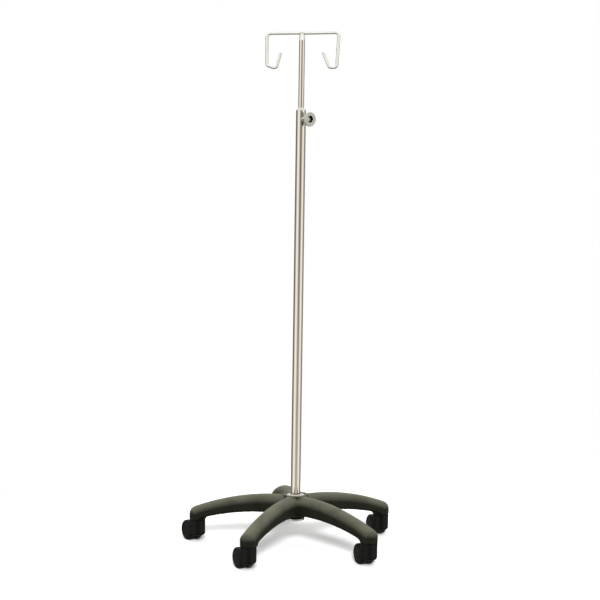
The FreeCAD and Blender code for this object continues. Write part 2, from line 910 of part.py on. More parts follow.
def make_knob_insert():
    """The metal insert that the knob is moulded on and the screw is fixed in."""
    radius = d.screw_hole_radius - d.screw_play
    end = d.insert_start_reach + d.insert_length
    corners = [
        (radius, d.insert_start_reach),
        (d.insert_radius, d.insert_start_reach),
        (d.insert_radius, end - d.small_chamfer),
        (d.insert_radius - d.small_chamfer, end),
        (radius, end),
    ]
    body = turned_body("knob_insert", corners)
    stand_on_clamp_axis(body)
    return body


def make_clamp_knob():
    """The round thumb knob: a rim on a conical back, with a deep recess in its face."""
    edge = d.knob_edge_round
    floor = d.knob_face_reach - d.knob_recess_depth
    corners = [
        (d.insert_radius, d.knob_neck_reach),
        (d.knob_neck_radius, d.knob_neck_reach),
        (d.knob_neck_radius, d.knob_cone_reach),
        (d.knob_radius - edge, d.knob_rim_reach),
        (d.knob_radius, d.knob_rim_reach + edge),
        (d.knob_radius, d.knob_face_reach - edge),
        (d.knob_radius - edge, d.knob_face_reach),
        (d.knob_recess_radius + d.small_chamfer, d.knob_face_reach),
        (d.knob_recess_radius, d.knob_face_reach - d.small_chamfer),
        (d.knob_recess_radius, floor),
        (d.insert_radius, floor),
    ]
    arcs = {
        3: ((d.knob_radius - edge, d.knob_rim_reach + edge), 1),
        5: ((d.knob_radius - edge, d.knob_face_reach - edge), 1),
    }
    body = turned_body("clamp_knob", corners, arcs)
    stand_on_clamp_axis(body)
    return body


# ---------------------------------------------------------------- casters


def leg_angle(number):
    return d.first_leg_angle.value + FULL_TURN / d.leg_count.value * number


def swivel_placement(number):
    """The swivel's foot on the floor, turned so that local X is the way the wheels trail."""
    angle = math.radians(leg_angle(number))
    reach = d.caster_circle_radius.value
    trail_angle = CASTERS[number][1]
    foot = Vector(reach * math.cos(angle), reach * math.sin(angle), 0)
    return Placement(foot, Rotation(Vector(0, 0, 1), trail_angle))


def wheel_placement(number, side):
    """The axle's middle, with local Z pointing out along the axle on the side asked for."""
    axle = Vector(d.trail.value, 0, d.wheel_radius.value)
    outward = Rotation(Vector(0, 0, 1), Vector(0, side, 0))
    return swivel_placement(number).multiply(Placement(axle, outward))


def make_caster_housing(number, name):
    """The swivelling body: a round neck that shields the front of both wheels, and a web between."""
    body = new_body(f"{name}_caster_housing")
    neck = new_sketch(body, "neck_outline", "XY_Plane", d.housing_bottom_height)
    draw_circle(neck, 0, 0, d.housing_radius)
    pad_sketch(body, "neck", neck, d.housing_top_height - d.housing_bottom_height)
    lower = d.housing_bottom_height.value
    upper = d.housing_top_height.value
    radius = d.housing_radius.value
    round_edges(body, "foot_round", d.housing_edge_round, lambda e: is_ring(e, radius, lower))
    round_edges(body, "top_round", d.housing_top_round, lambda e: is_ring(e, radius, upper))
    gap = d.wheel_radius + d.wheel_gap
    for side, label in ((1, "front"), (-1, "back")):
        # the XZ plane's normal is -Y, so this sketch is on the web's near face and cuts away from it
        room = new_sketch(body, f"room_{label}", "XZ_Plane", d.web_half_thickness * side)
        draw_circle(room, d.trail, d.wheel_radius, gap)
        cut_from(body, f"wheel_room_{label}", room, backwards=side > 0)
    web = new_sketch(body, "web_outline", "XZ_Plane")
    draw_circle(web, d.trail, d.wheel_radius, d.web_radius)
    pad_sketch(body, "web", web, d.web_half_thickness * 2, both_ways=True)
    axle = new_sketch(body, "axle_hole_outline", "XZ_Plane")
    draw_circle(axle, d.trail, d.wheel_radius, d.axle_radius)
    cut_from(body, "axle_hole", axle, both_ways=True)
    stem = new_sketch(body, "stem_hole_outline", "XY_Plane", d.housing_top_height)
    draw_circle(stem, 0, 0, d.stem_radius + d.running_play)
    depth = d.housing_top_height - d.stem_bottom_height + d.end_gap
    cut_from(body, "stem_hole", stem, depth)
    body.Placement = swivel_placement(number)
    return body


def make_caster_stem(number, name):
    """The steel pin that the caster swivels on, with a thrust collar and a groove for its ring."""
    groove = d.stem_radius - d.ring_groove
    ring_top = d.ring_bottom_height + d.ring_height
    collar = d.housing_top_height + d.swivel_gap
    corners = [
        (0, d.stem_bottom_height),
        (d.stem_radius - d.stem_chamfer, d.stem_bottom_height),
        (d.stem_radius, d.stem_bottom_height + d.stem_chamfer),
        (d.stem_radius, collar),
        (d.stem_collar_radius, collar),
        (d.stem_collar_radius, d.tip_bottom_height),
        (d.stem_radius, d.tip_bottom_height),
        (d.stem_radius, d.ring_bottom_height),
        (groove, d.ring_bottom_height),
        (groove, ring_top),
        (d.stem_radius, ring_top),
        (d.stem_radius, d.stem_top_height - d.stem_chamfer),
        (d.stem_radius - d.stem_chamfer, d.stem_top_height),
        (0, d.stem_top_height),
    ]
    body = turned_body(f"{name}_caster_stem", corners)
    body.Placement = swivel_placement(number)
    return body


def make_stem_ring(number, name):
    """The split spring ring that holds a stem in its socket."""
    groove = d.stem_radius - d.ring_groove
    outer = d.stem_radius + d.running_play
    lower = d.ring_bottom_height
    upper = lower + d.ring_height
    body = turned_body(
        f"{name}_stem_ring", [(groove, lower), (outer, lower), (outer, upper), (groove, upper)]
    )
    slot = new_sketch(body, "slot_outline", "XZ_Plane")
    half = d.ring_slot / 2
    foot, top = lower - OVERSHOOT, upper + OVERSHOOT
    draw(slot, [(-half, foot), (half, foot), (half, top), (-half, top)])
    cut_from(body, "slot", slot, backwards=True)
    body.Placement = swivel_placement(number)
    return body


def make_axle(number, name):
    half = d.axle_half_length
    chamfer = d.small_chamfer
    corners = [
        (0, -half),
        (d.axle_radius - chamfer, -half),
        (d.axle_radius, -half + chamfer),
        (d.axle_radius, half - chamfer),
        (d.axle_radius - chamfer, half),
        (0, half),
    ]
    body = turned_body(f"{name}_axle", corners)
    body.Placement = wheel_placement(number, 1)
    return body


def make_wheel(number, name, side, label):
    """A nylon wheel: hub, web and tread, with a seat for its cap."""
    bore = d.axle_radius + d.running_play
    inner = d.wheel_inner_face
    outer = d.wheel_outer_face
    tread = d.wheel_tread_round
    recess = inner + d.wheel_web_recess
    corners = [
        (bore, inner),
        (d.wheel_hub_radius, inner),
        (d.wheel_hub_radius, recess),
        (d.wheel_rim_radius, recess),
        (d.wheel_rim_radius, inner),
        (d.wheel_radius - tread / 2, inner),
        (d.wheel_radius, inner + tread / 2),
        (d.wheel_radius, outer - tread),
        (d.wheel_radius - tread, outer),
        (d.cap_radius, outer),
        (d.cap_radius, d.cap_seat),
        (bore, d.cap_seat),
    ]
    arcs = {
        5: ((d.wheel_radius - tread / 2, inner + tread / 2), 1),
        7: ((d.wheel_radius - tread, outer - tread), 1),
    }
    body = turned_body(f"{name}_wheel_{label}", corners, arcs)
    body.Placement = wheel_placement(number, side)
    return body


def make_wheel_cap(number, name, side, label):
    """The domed cap pressed into a wheel's outer face."""
    rim = d.cap_radius - d.cap_chamfer
    edge = d.cap_edge + d.cap_chamfer / 2
    rise = d.cap_crown - edge
    dome = (squared(rim) + squared(rise)) / (rise * 2)
    corners = [
        (0, d.cap_seat),
        (d.cap_radius, d.cap_seat),
        (d.cap_radius, d.cap_edge),
        (rim, edge),
        (0, d.cap_crown),
    ]
    body = turned_body(f"{name}_cap_{label}", corners, {3: ((0, d.cap_crown - dome), 1)})
    body.Placement = wheel_placement(number, side)
    return body


def make_caster(number, name):
    pieces = [
        make_caster_housing(number, name),
        make_caster_stem(number, name),
        make_stem_ring(number, name),
        make_axle(number, name),
    ]
    for side, label in ((1, "left"), (-1, "right")):
        pieces.append(make_wheel(number, name, side, label))
        pieces.append(make_wheel_cap(number, name, side, label))
    return pieces


# ---------------------------------------------------------------- the whole stand


def check_and_export(pieces):
    """Stop on any failed feature or unsound shape, then write one file for each sub-part."""
    doc.recompute()
    for thing in doc.Objects:
        if "Invalid" in thing.State or "Error" in thing.State:
            raise RuntimeError(f"{thing.Name} failed: {thing.State}")
    for piece in pieces:
        shape = piece.Shape
        if shape.isNull() or not shape.isValid() or shape.Volume <= 0:
            raise RuntimeError(f"{piece.Label} has no sound shape")
    for piece in pieces:
        piece.Shape.exportStep(f"parts/{piece.Label}.step")
        print(f"{piece.Label}: {len(piece.Shape.Solids)} solid, {piece.Shape.Volume:.0f} mm3")


os.makedirs("parts", exist_ok=True)
doc = FreeCAD.newDocument("infusion_stand")
d = make_sheet()
doc.recompute()
stand = [
    make_base(),
    make_stem_sockets(),
    make_top_flange(),
    make_bottom_washer(),
    make_base_bolt(),
    make_tube_plug(),
    make_outer_tube(),
    make_guide_bushing(),
    make_inner_tube(),
    make_glide_ring(),
    make_inner_tube_plug(),
    make_hook_plug(),
    make_hook_bar(),
    make_clamp_boss(),
    make_pressure_pad(),
    make_clamp_screw(),
    make_knob_insert(),
    make_clamp_knob(),
]
for caster_number, (leg_name, _) in enumerate(CASTERS):
    stand += make_caster(caster_number, leg_name)
check_and_export(stand)
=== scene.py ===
"""Looks for the infusion stand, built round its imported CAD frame.

The frame is in metres. The outlines and fields of the pieces are written in millimetres.
"""

import math

import bpy
import numpy as np
from mathutils import Matrix, Vector


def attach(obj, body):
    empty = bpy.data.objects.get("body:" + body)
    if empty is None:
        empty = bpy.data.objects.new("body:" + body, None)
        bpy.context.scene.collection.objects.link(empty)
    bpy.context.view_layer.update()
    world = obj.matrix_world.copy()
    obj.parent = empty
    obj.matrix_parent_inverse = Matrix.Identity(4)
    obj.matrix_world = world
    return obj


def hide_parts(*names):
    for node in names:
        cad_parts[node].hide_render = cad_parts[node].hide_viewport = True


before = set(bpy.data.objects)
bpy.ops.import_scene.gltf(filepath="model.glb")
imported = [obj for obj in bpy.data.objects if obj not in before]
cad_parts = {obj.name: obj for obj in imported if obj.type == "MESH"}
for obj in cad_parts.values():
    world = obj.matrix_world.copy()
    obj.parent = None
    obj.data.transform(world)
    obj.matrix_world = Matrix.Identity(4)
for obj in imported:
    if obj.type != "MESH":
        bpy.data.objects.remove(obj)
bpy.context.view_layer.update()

MM = 0.001
LEGS = ("right_rear", "rear", "left", "left_front", "right_front")
TRAIL_ANGLES = (113.0, 108.0, 124.0, 118.0, 114.0)
FIRST_LEG_ANGLE = 27.83
LEG_PITCH = 72.0
CASTER_CIRCLE = 260.0

# heights and radii that several pieces share, in millimetres
TUBE_RADIUS = 12.7
TUBE_BORE = 11.25
TUBE_FOOT = 84.0
TUBE_TOP = 1133.0
FLANGE_BOTTOM = 135.0
POLE_RADIUS = 7.5
POLE_BORE = 6.35
POLE_FOOT = 285.0
POLE_TOP = 1309.0
ROD_RADIUS = 4.0
BAR_HEIGHT = 1327.0
CLAMP_ANGLE = 38.0
CLAMP_HEIGHT = 1111.0
BOSS_RADIUS = 6.8
WHEEL_RADIUS = 26.5
TRAIL = 26.7


# ---------------------------------------------------------------- mesh helpers


def new_object(name, form, place=None):
    """A smooth mesh object of a form: millimetre vertices, faces, and a normal for each vertex.

    The place is worked into the vertices, so every object stays at the frame's own origin.
    """
    vertices, faces, normals = form
    vertices = np.asarray(vertices, float) * MM
    normals = np.asarray(normals, float)
    if place is not None:
        turn = np.array(place.to_3x3())
        vertices = vertices @ turn.T + np.array(place.translation)
        normals = normals @ turn.T
    mesh = bpy.data.meshes.new(name)
    mesh.from_pydata(vertices.tolist(), [], faces)
    mesh.polygons.foreach_set("use_smooth", [True] * len(mesh.polygons))
    mesh.normals_split_custom_set_from_vertices(normals.tolist())
    made = bpy.data.objects.new(name, mesh)
    bpy.context.scene.collection.objects.link(made)
    return made


def unit(vector):
    return vector / np.linalg.norm(vector)


def ease(share):
    """A share of 0 to 1 that starts and ends gently."""
    return share * share * (3 - 2 * share)


def signed_area(points):
    """Twice the area inside a closed outline; negative where it runs clockwise."""
    following = np.roll(points, -1, axis=0)
    return np.sum(points[:, 0] * following[:, 1] - following[:, 0] * points[:, 1])


def rounded_outline(corners):
    """Points and outward normals of an outline in (radius, height), its corners rounded.

    A corner is (radius, height, rounding). An outline that starts on the axis ends on it too.
    """
    flat = np.array([corner[:2] for corner in corners], float)
    following = np.roll(flat, -1, axis=0)
    outward = 1.0 if signed_area(flat) > 0 else -1.0
    on_axis = flat[0][0] < 1e-6 and flat[-1][0] < 1e-6
    count = len(corners)

    def edge_normal(start, end):
        along = unit(end - start)
        return np.array([along[1], -along[0]]) * outward

    # each corner's share of its two edges, where both ends of an edge are rounded
    spreads = np.full(count, math.pi)
    setbacks = np.zeros(count)
    for index, corner in enumerate(corners):
        if on_axis and index in (0, count - 1):
            continue
        back, ahead = unit(flat[index - 1] - flat[index]), unit(following[index] - flat[index])
        spreads[index] = math.acos(max(-1.0, min(1.0, float(back @ ahead))))
        rounding = corner[2] if len(corner) > 2 else 0.15
        setbacks[index] = rounding / math.tan(spreads[index] / 2)
    lengths = np.linalg.norm(following - flat, axis=1)
    taken = np.maximum(setbacks + np.roll(setbacks, -1), 1e-9)
    fit = np.minimum(1, 0.97 * lengths / taken)
    setbacks *= np.minimum(fit, np.roll(fit, 1))

    points = []
    normals = []
    for index in range(count):
        here, after, before = flat[index], following[index], flat[index - 1]
        if on_axis and index in (0, count - 1):
            points.append(here)
            normals.append(edge_normal(*((here, after) if index == 0 else (before, here))))
            continue
        back, ahead = unit(before - here), unit(after - here)
        turning = math.pi - spreads[index]
        rounding = setbacks[index] * math.tan(spreads[index] / 2)
        first, last = edge_normal(before, here), edge_normal(here, after)
        centre = here + unit(back + ahead) * rounding / math.sin(spreads[index] / 2)
        bulge = 1.0 if first @ (here - centre) > 0 else -1.0
        steps = max(2, math.ceil(math.degrees(turning) / 11))
        for step in range(steps + 1):
            share = step / steps
            normal = unit(math.sin((1 - share) * turning) * first + math.sin(share * turning) * last)
            points.append(centre + bulge * rounding * normal)
            normals.append(normal)
    return np.array(points), np.array(normals), on_axis


def lathe(corners, segments=96, ripple=None):
    """Turn an outline about Z. ripple(angle, radius, height) may shift the radius a little."""
    points, normals, on_axis = rounded_outline(corners)
    angles = np.arange(segments) * math.tau / segments
    vertices = []
    directions = []
    rings = []
    for (radius, height), (across, up) in zip(points, normals):
        start = len(vertices)
        if radius < 1e-6:
            vertices.append((0.0, 0.0, height))
            directions.append((0.0, 0.0, math.copysign(1.0, up)))
            rings.append([start] * segments)
            continue
        for angle in angles:
            reach = radius + (ripple(angle, radius, height) if ripple else 0.0)
            vertices.append((reach * math.cos(angle), reach * math.sin(angle), height))
            directions.append((across * math.cos(angle), across * math.sin(angle), up))
        rings.append(list(range(start, start + segments)))
    clockwise = signed_area(points) < 0
    pairs = list(zip(rings, rings[1:]))
    if not on_axis:
        pairs.append((rings[-1], rings[0]))
    faces = []
    for lower, upper in pairs:
        for step in range(segments):
            after = (step + 1) % segments
            quad = [lower[step], lower[after], upper[after], upper[step]]
            if clockwise:
                quad.reverse()
            corner_list = list(dict.fromkeys(quad))
            if len(corner_list) > 2:
                faces.append(corner_list)
    return vertices, faces, directions


def sweep(path, radii, segments=40):
    """Sweep a round section along a path in the XZ plane; both ends are closed."""
    path = np.asarray(path, float)
    ahead = np.gradient(path, axis=0)
    vertices = []
    directions = []
    for point, tangent, radius in zip(path, ahead, radii):
        tangent = unit(tangent)
        across = np.array([-tangent[1], tangent[0]])
        for step in range(segments):
            angle = step * math.tau / segments
            lean = (across[0] * math.cos(angle), math.sin(angle), across[1] * math.cos(angle))
            vertices.append((point[0] + lean[0] * radius, lean[1] * radius, point[1] + lean[2] * radius))
            directions.append(lean)
    faces = []
    for ring in range(len(path) - 1):
        for step in range(segments):
            after = (step + 1) % segments
            low, high = ring * segments, (ring + 1) * segments
            faces.append([low + step, high + step, high + after, low + after])
    for ring, sign in ((0, 1), (len(path) - 1, -1)):
        loop = [ring * segments + step for step in range(segments)]
        centre = len(vertices)
        vertices.append((path[ring][0], 0.0, path[ring][1]))
        tangent = unit(ahead[ring]) * -sign
        directions.append((tangent[0], 0.0, tangent[1]))
        for step in range(segments):
            pair = [loop[step], loop[(step + 1) % segments]]
            faces.append([centre, *(pair if sign > 0 else pair[::-1])])
    return vertices, faces, directions


# ---------------------------------------------------------------- fields and the nets over them

# A field is negative inside a solid and near the distance to its surface, in millimetres.


def fillet_union(a, b, radius):
    return np.maximum(radius, np.minimum(a, b)) - np.hypot(
        np.maximum(radius - a, 0), np.maximum(radius - b, 0)
    )


def round_meet(a, b, radius):
    """What two solids share, with the edge between them rounded."""
    return np.minimum(-radius, np.maximum(a, b)) + np.hypot(
        np.maximum(radius + a, 0), np.maximum(radius + b, 0)
    )


def opening_between(first, second):
    """0 where two surfaces face the same way, 1 where they are about square to each other or more."""
    alike = sum(a * b for a, b in zip(first, second))
    return np.clip(1.6 * (1 - alike), 0, 1)


def field_slope(field, x, y, z, reach=0.05):
    slope = np.stack(
        [
            field(x + reach, y, z) - field(x - reach, y, z),
            field(x, y + reach, z) - field(x, y - reach, z),
            field(x, y, z + reach) - field(x, y, z - reach),
        ],
        axis=1,
    )
    return slope / (2 * reach)


def net(field, low, high, step):
    """A surface net over a field's zero level, its points drawn onto the level."""
    axes = [np.arange(low[i], high[i] + step, step) for i in range(3)]
    shape = tuple(len(axis) for axis in axes)
    values = np.empty(shape)
    for index, x in enumerate(axes[0]):
        y, z = np.meshgrid(axes[1], axes[2], indexing="ij")
        values[index] = field(np.full_like(y, x), y, z)
    inside = values < 0
    corners = [(i, j, k) for i in (0, 1) for j in (0, 1) for k in (0, 1)]
    cells = tuple(n - 1 for n in shape)
    total = np.zeros(cells, int)
    for i, j, k in corners:
        total += inside[i : i + cells[0], j : j + cells[1], k : k + cells[2]]
    active = (total > 0) & (total < 8)
    where = np.argwhere(active)
    number = np.full(cells, -1)
    number[active] = np.arange(len(where))
    position = np.zeros((len(where), 3))
    crossings = np.zeros(len(where))
    for start in corners:
        for axis in range(3):
            if start[axis]:
                continue
            end = tuple(1 if n == axis else start[n] for n in range(3))
            a = values[tuple((where + start).T)]
            b = values[tuple((where + end).T)]
            crossed = (a < 0) != (b < 0)
            share = np.where(crossed, a / np.where(crossed, a - b, 1), 0)
            here = where + start + share[:, None] * (np.array(end) - start)
            position += np.where(crossed[:, None], here, 0)
            crossings += crossed
    position = position / crossings[:, None] * step + np.array([axis[0] for axis in axes])
    faces = []
    for axis in range(3):
        side, up = [(1, 2), (2, 0), (0, 1)][axis]
        ahead = [slice(None)] * 3
        behind = [slice(None)] * 3
        ahead[axis] = slice(1, None)
        behind[axis] = slice(None, -1)
        crossing = inside[tuple(behind)] != inside[tuple(ahead)]
        spots = np.argwhere(crossing)
        spots = spots[(spots[:, side] > 0) & (spots[:, up] > 0)]
        spots = spots[(spots[:, side] < shape[side] - 1) & (spots[:, up] < shape[up] - 1)]
        quad = []
        for back_side, back_up in ((1, 1), (0, 1), (0, 0), (1, 0)):
            cell = spots.copy()
            cell[:, side] -= back_side
            cell[:, up] -= back_up
            quad.append(number[tuple(cell.T)])
        quad = np.stack(quad, axis=1)
        leaving = inside[tuple(behind)][tuple(spots.T)]
        quad[~leaving] = quad[~leaving][:, ::-1]
        faces.append(quad)
    faces = np.concatenate(faces)
    for _ in range(4):
        slope = field_slope(field, *position.T)
        square = np.maximum((slope**2).sum(1), 0.05)
        shift = -slope * (field(*position.T) / square)[:, None]
        length = np.linalg.norm(shift, axis=1, keepdims=True)
        position = position + shift * np.minimum(1, 0.5 * step / np.maximum(length, 1e-9))
    slope = field_slope(field, *position.T)
    normals = slope / np.maximum(np.linalg.norm(slope, axis=1, keepdims=True), 1e-9)
    return position, faces.tolist(), normals


# ---------------------------------------------------------------- base

LEG_ROOT_HALF = 23.0
LEG_TIP_HALF = 20.3
# the leg widens to its tip over this stretch
FLARE_START = 226
FLARE_LENGTH = 32
# the crown and the underside sag with the square of the distance from where they start
CROWN_HEIGHT = 137.0
CROWN_SAG = 0.0009
CROWN_START = 48.0
UNDER_HEIGHT = 90.3
UNDER_SAG = 0.000915
UNDER_START = 82.0
TIP_RADIUS = 21.2
TIP_BOTTOM = 61.0
TIP_ROUND = 13
POST_FILLET = 11
LEG_WALL = 4.0
LEG_EDGE_ROUND = 6.5
POCKET_START = 44.0
RIB = 3.0
BAY_PITCH = 48.25
BAY_COUNT = 4
HUB_RADIUS = 39.5
HUB_TOP = 129.0
HUB_ROUND = 15.0
HUB_BOTTOM = 87.0
RIM_RADIUS = 31.0
RIM_TOP = 139.3
UNDER_BOSS_RADIUS = 25.0
UNDER_BOSS_BOTTOM = 76.7


def leg_curves(x):
    """Half width, crown height, underside height and crown slope along a leg."""
    flare = ease(np.clip((x - FLARE_START) / FLARE_LENGTH, 0, 1))
    half = LEG_ROOT_HALF + (LEG_TIP_HALF - LEG_ROOT_HALF) * x / CASTER_CIRCLE
    half = half + flare * (TIP_RADIUS - half)
    crown = CROWN_HEIGHT - CROWN_SAG * (x - CROWN_START) ** 2
    under = UNDER_HEIGHT - UNDER_SAG * (x - UNDER_START) ** 2
    slope = -2 * CROWN_SAG * (x - CROWN_START)
    return half, crown, under, slope


def arch(x, y, z, wall=0.0):
    """The leg's outside, open downward, and the way that it faces."""
    half, crown, _, slope = leg_curves(x)
    half = half - wall
    rise = np.maximum(z - (crown - wall - half), 0)
    reach = np.maximum(np.hypot(y, rise), 1e-6)
    size = np.sqrt(1 + (slope * rise / reach) ** 2)
    facing = (-slope * rise / reach / size, y / reach / size, rise / reach / size)
    return (reach - half) / size, facing


def pick(choice, first, second):
    """The first way of facing where the choice holds, and the second elsewhere."""
    return tuple(np.where(choice, a, b) for a, b in zip(first, second))


def leg_field(x, y, z):
    """A leg with the upright socket at its tip, and the way that it faces."""
    _, _, under, _ = leg_curves(x)
    top, top_facing = arch(x, y, z)
    floor = np.maximum(under - z, x - (CASTER_CIRCLE - 1))
    away = x - CASTER_CIRCLE
    reach = np.maximum(np.hypot(away, y), 1e-6)
    post = reach - TIP_RADIUS
    lower = fillet_union(floor, post, POST_FILLET)
    lower_facing = pick(post < floor, (away / reach, y / reach, 0 * z), (0, 0, -1))
    rounding = LEG_EDGE_ROUND + (TIP_ROUND - LEG_EDGE_ROUND) * ease(np.clip(away / 8, 0, 1))
    beam = round_meet(top, lower, rounding * opening_between(top_facing, lower_facing) + 1e-3)
    beam = round_meet(beam, TIP_BOTTOM - z, 1.0)
    return np.maximum(beam, -x), pick(lower > top, lower_facing, top_facing)


def hub_field(reach, z):
    """The round body that the legs grow from, and the way that it faces, as (outward, up)."""
    side, top = reach - HUB_RADIUS, z - HUB_TOP
    body = round_meet(side, top, HUB_ROUND)
    out, up = np.maximum(HUB_ROUND + side, 0), np.maximum(HUB_ROUND + top, 0)
    size = np.maximum(np.hypot(out, up), 1e-6)
    body = round_meet(body, HUB_BOTTOM - z, 2.0)
    return body, (out / size, up / size)


def base_field(px, py, pz):
    """The whole base: five legs round a hub, hollow underneath, with its bores."""
    reach = np.hypot(px, py)
    angle = np.arctan2(py, px) - math.radians(FIRST_LEG_ANGLE)
    pitch = math.radians(LEG_PITCH)
    angle = angle - pitch * np.round(angle / pitch)
    x, y, z = reach * np.cos(angle), reach * np.sin(angle), pz
    # the leg, and the next leg on the point's own side of it
    leg, leg_facing = leg_field(x, y, z)
    beside = np.sqrt(y * y + 9.0)
    next_x = x * math.cos(pitch) + beside * math.sin(pitch)
    next_y = -x * math.sin(pitch) + beside * math.cos(pitch)
    neighbour, facing = leg_field(next_x, next_y, z)
    turned = (
        facing[0] * math.cos(pitch) - facing[1] * math.sin(pitch),
        np.where(y < 0, -1, 1) * (facing[0] * math.sin(pitch) + facing[1] * math.cos(pitch)),
        facing[2],
    )
    shape = fillet_union(leg, neighbour, 2 * opening_between(leg_facing, turned))
    hub, (out, up) = hub_field(reach, z)
    hub_facing = (out * np.cos(angle), out * np.sin(angle), up)
    shape = fillet_union(shape, hub, 7 * opening_between(leg_facing, hub_facing))
    rim = round_meet(round_meet(reach - RIM_RADIUS, z - RIM_TOP, 2.6), 114.0 - z, 0.5)
    shape = fillet_union(shape, rim, 5.0)
    boss = round_meet(round_meet(reach - UNDER_BOSS_RADIUS, UNDER_BOSS_BOTTOM - z, 1.2), z - 120.0, 0.5)
    shape = fillet_union(shape, boss, 2.0)
    # the hollow underneath, in bays between ribs
    inner, _ = arch(x, y, z, LEG_WALL)
    bay = np.clip(np.floor((x - POCKET_START) / BAY_PITCH), 0, BAY_COUNT - 1)
    along = x - POCKET_START - BAY_PITCH * bay
    hollow = round_meet(inner, np.maximum(-along, along - (BAY_PITCH - RIB)), 2.5)
    shape = round_meet(shape, -hollow, 0.8)
    # bores for the stems, the bolt, the pole and its flange
    socket = np.maximum(np.hypot(x - CASTER_CIRCLE, y) - 7.05, z - 87.0)
    bolt = reach - 5.5
    pole = np.maximum(reach - (TUBE_RADIUS + 0.05), TUBE_FOOT - z)
    recess = np.maximum(reach - 24.0, FLANGE_BOTTOM - z)
    bore = np.minimum(np.minimum(bolt, socket), np.minimum(pole, recess))
    return round_meet(shape, -bore, 0.4)


# ---------------------------------------------------------------- casters


def housing_field(x, y, z):
    """The swivelling body, in its own frame: X is the way the wheels trail, Z is up from the floor."""
    neck = np.hypot(x, y) - 20.6
    neck = round_meet(neck, 17.0 - z, 8.0)
    neck = round_meet(neck, z - 60.1, 1.0)
    from_axle = np.hypot(x - TRAIL, z - WHEEL_RADIUS)
    room = round_meet(from_axle - (WHEEL_RADIUS + 1.5), 4.2 - np.abs(y), 0.6)
    neck = round_meet(neck, -room, 0.7)
    web = round_meet(from_axle - 21.5, np.abs(y) - 4.2, 1.2)
    body = np.minimum(neck, web)
    body = np.maximum(body, 3.05 - from_axle)
    stem = np.maximum(np.hypot(x, y) - 5.55, 36.5 - z)
    return np.maximum(body, -stem)


def tread_ripple(angle, radius, height):
    """Fine moulding lines across the tread."""
    if radius < WHEEL_RADIUS - 0.4 or not 7.5 < height < 16.5:
        return 0.0
    return -0.12 * (0.5 + 0.5 * math.cos(angle * 60))


# a wheel and its cap, in (radius, distance from the caster's middle plane, rounding)
WHEEL_OUTLINE = [
    (3.05, 5.0, 0.3),
    (8.0, 5.0, 0.5),
    (8.0, 6.6, 0.5),
    (21.5, 6.6, 0.6),
    (21.5, 5.0, 0.4),
    (WHEEL_RADIUS, 5.0, 1.6),
    (WHEEL_RADIUS, 12.2, 0.3),
    (WHEEL_RADIUS - 0.25, 12.4, 0.2),
    (WHEEL_RADIUS - 0.25, 12.9, 0.2),
    (WHEEL_RADIUS, 13.1, 0.3),
    (WHEEL_RADIUS, 20.0, 5.0),
    (18.6, 20.0, 0.5),
    (18.6, 17.5, 0.1),
    (3.05, 17.5, 0.2),
]

CAP_OUTLINE = [
    (0.0, 17.5),
    (18.5, 17.5, 0.1),
    (18.5, 20.15, 0.6),
    (16.4, 20.45, 0.4),
    (15.9, 19.85, 0.3),
    (14.6, 19.85, 0.4),
    (13.9, 20.3, 0.6),
    (6.0, 20.55, 9.0),
    (0.0, 20.6),
]

# ---------------------------------------------------------------- pole, hooks and clamp


def arc_corner(before, corner, after, radius, points):
    """Add an arc that rounds one corner of a path."""
    before, corner, after = (np.array(p, float) for p in (before, corner, after))
    back, ahead = unit(before - corner), unit(after - corner)
    spread = math.acos(float(back @ ahead))
    centre = corner + unit(back + ahead) * radius / math.sin(spread / 2)
    first = corner + back * radius / math.tan(spread / 2) - centre
    last = corner + ahead * radius / math.tan(spread / 2) - centre
    turning = math.pi - spread
    steps = max(4, math.ceil(math.degrees(turning) / 6))
    for step in range(steps + 1):
        share = step / steps
        lean = math.sin((1 - share) * turning) * first + math.sin(share * turning) * last
        points.append(centre + unit(lean) * radius)


# where each hook's corners are, from the bar's middle to the tip
HOOK_CORNERS = (
    (
        (0, BAR_HEIGHT),
        (-10.0, BAR_HEIGHT),
        (-88.7, 1324.8),
        (-88.7, 1245.0),
        (-64.8, 1237.5),
        (-53.8, 1278.0),
    ),
    (
        (0, BAR_HEIGHT),
        (10.0, BAR_HEIGHT),
        (93.2, 1330.0),
        (88.8, 1242.5),
        (70.0, 1242.0),
        (53.8, 1280.5),
    ),
)
HOOK_BENDS = (30.0, 9.0, 8.0, 8.0)


def hook_half(corners):
    """One half of the hook bar's path."""
    points = [np.array(corners[0], float)]
    for index, radius in enumerate(HOOK_BENDS):
        arc_corner(*corners[index : index + 3], radius, points)
    points.append(np.array(corners[-1], float))
    return points


def rounded_end(points, radii, rounding):
    """Replace a path's last point with rings that round the rod's end."""
    end = points[-1]
    along = unit(end - points[-2])
    points[-1] = end - along * rounding
    radii.append(ROD_RADIUS)
    for step in range(1, 7):
        angle = step / 6 * math.pi / 2
        points.append(end - along * rounding * (1 - math.sin(angle)))
        radii.append(ROD_RADIUS - rounding * (1 - math.cos(angle)))


def hook_path():
    """The whole bar's path and radii, from the left tip to the right tip."""
    halves = []
    for corners in HOOK_CORNERS:
        points = hook_half(corners)
        radii = [ROD_RADIUS] * (len(points) - 1)
        rounded_end(points, radii, 2.6)
        halves.append((points, radii))
    (left, left_radii), (right, right_radii) = halves
    return left[:0:-1] + right, left_radii[:0:-1] + right_radii


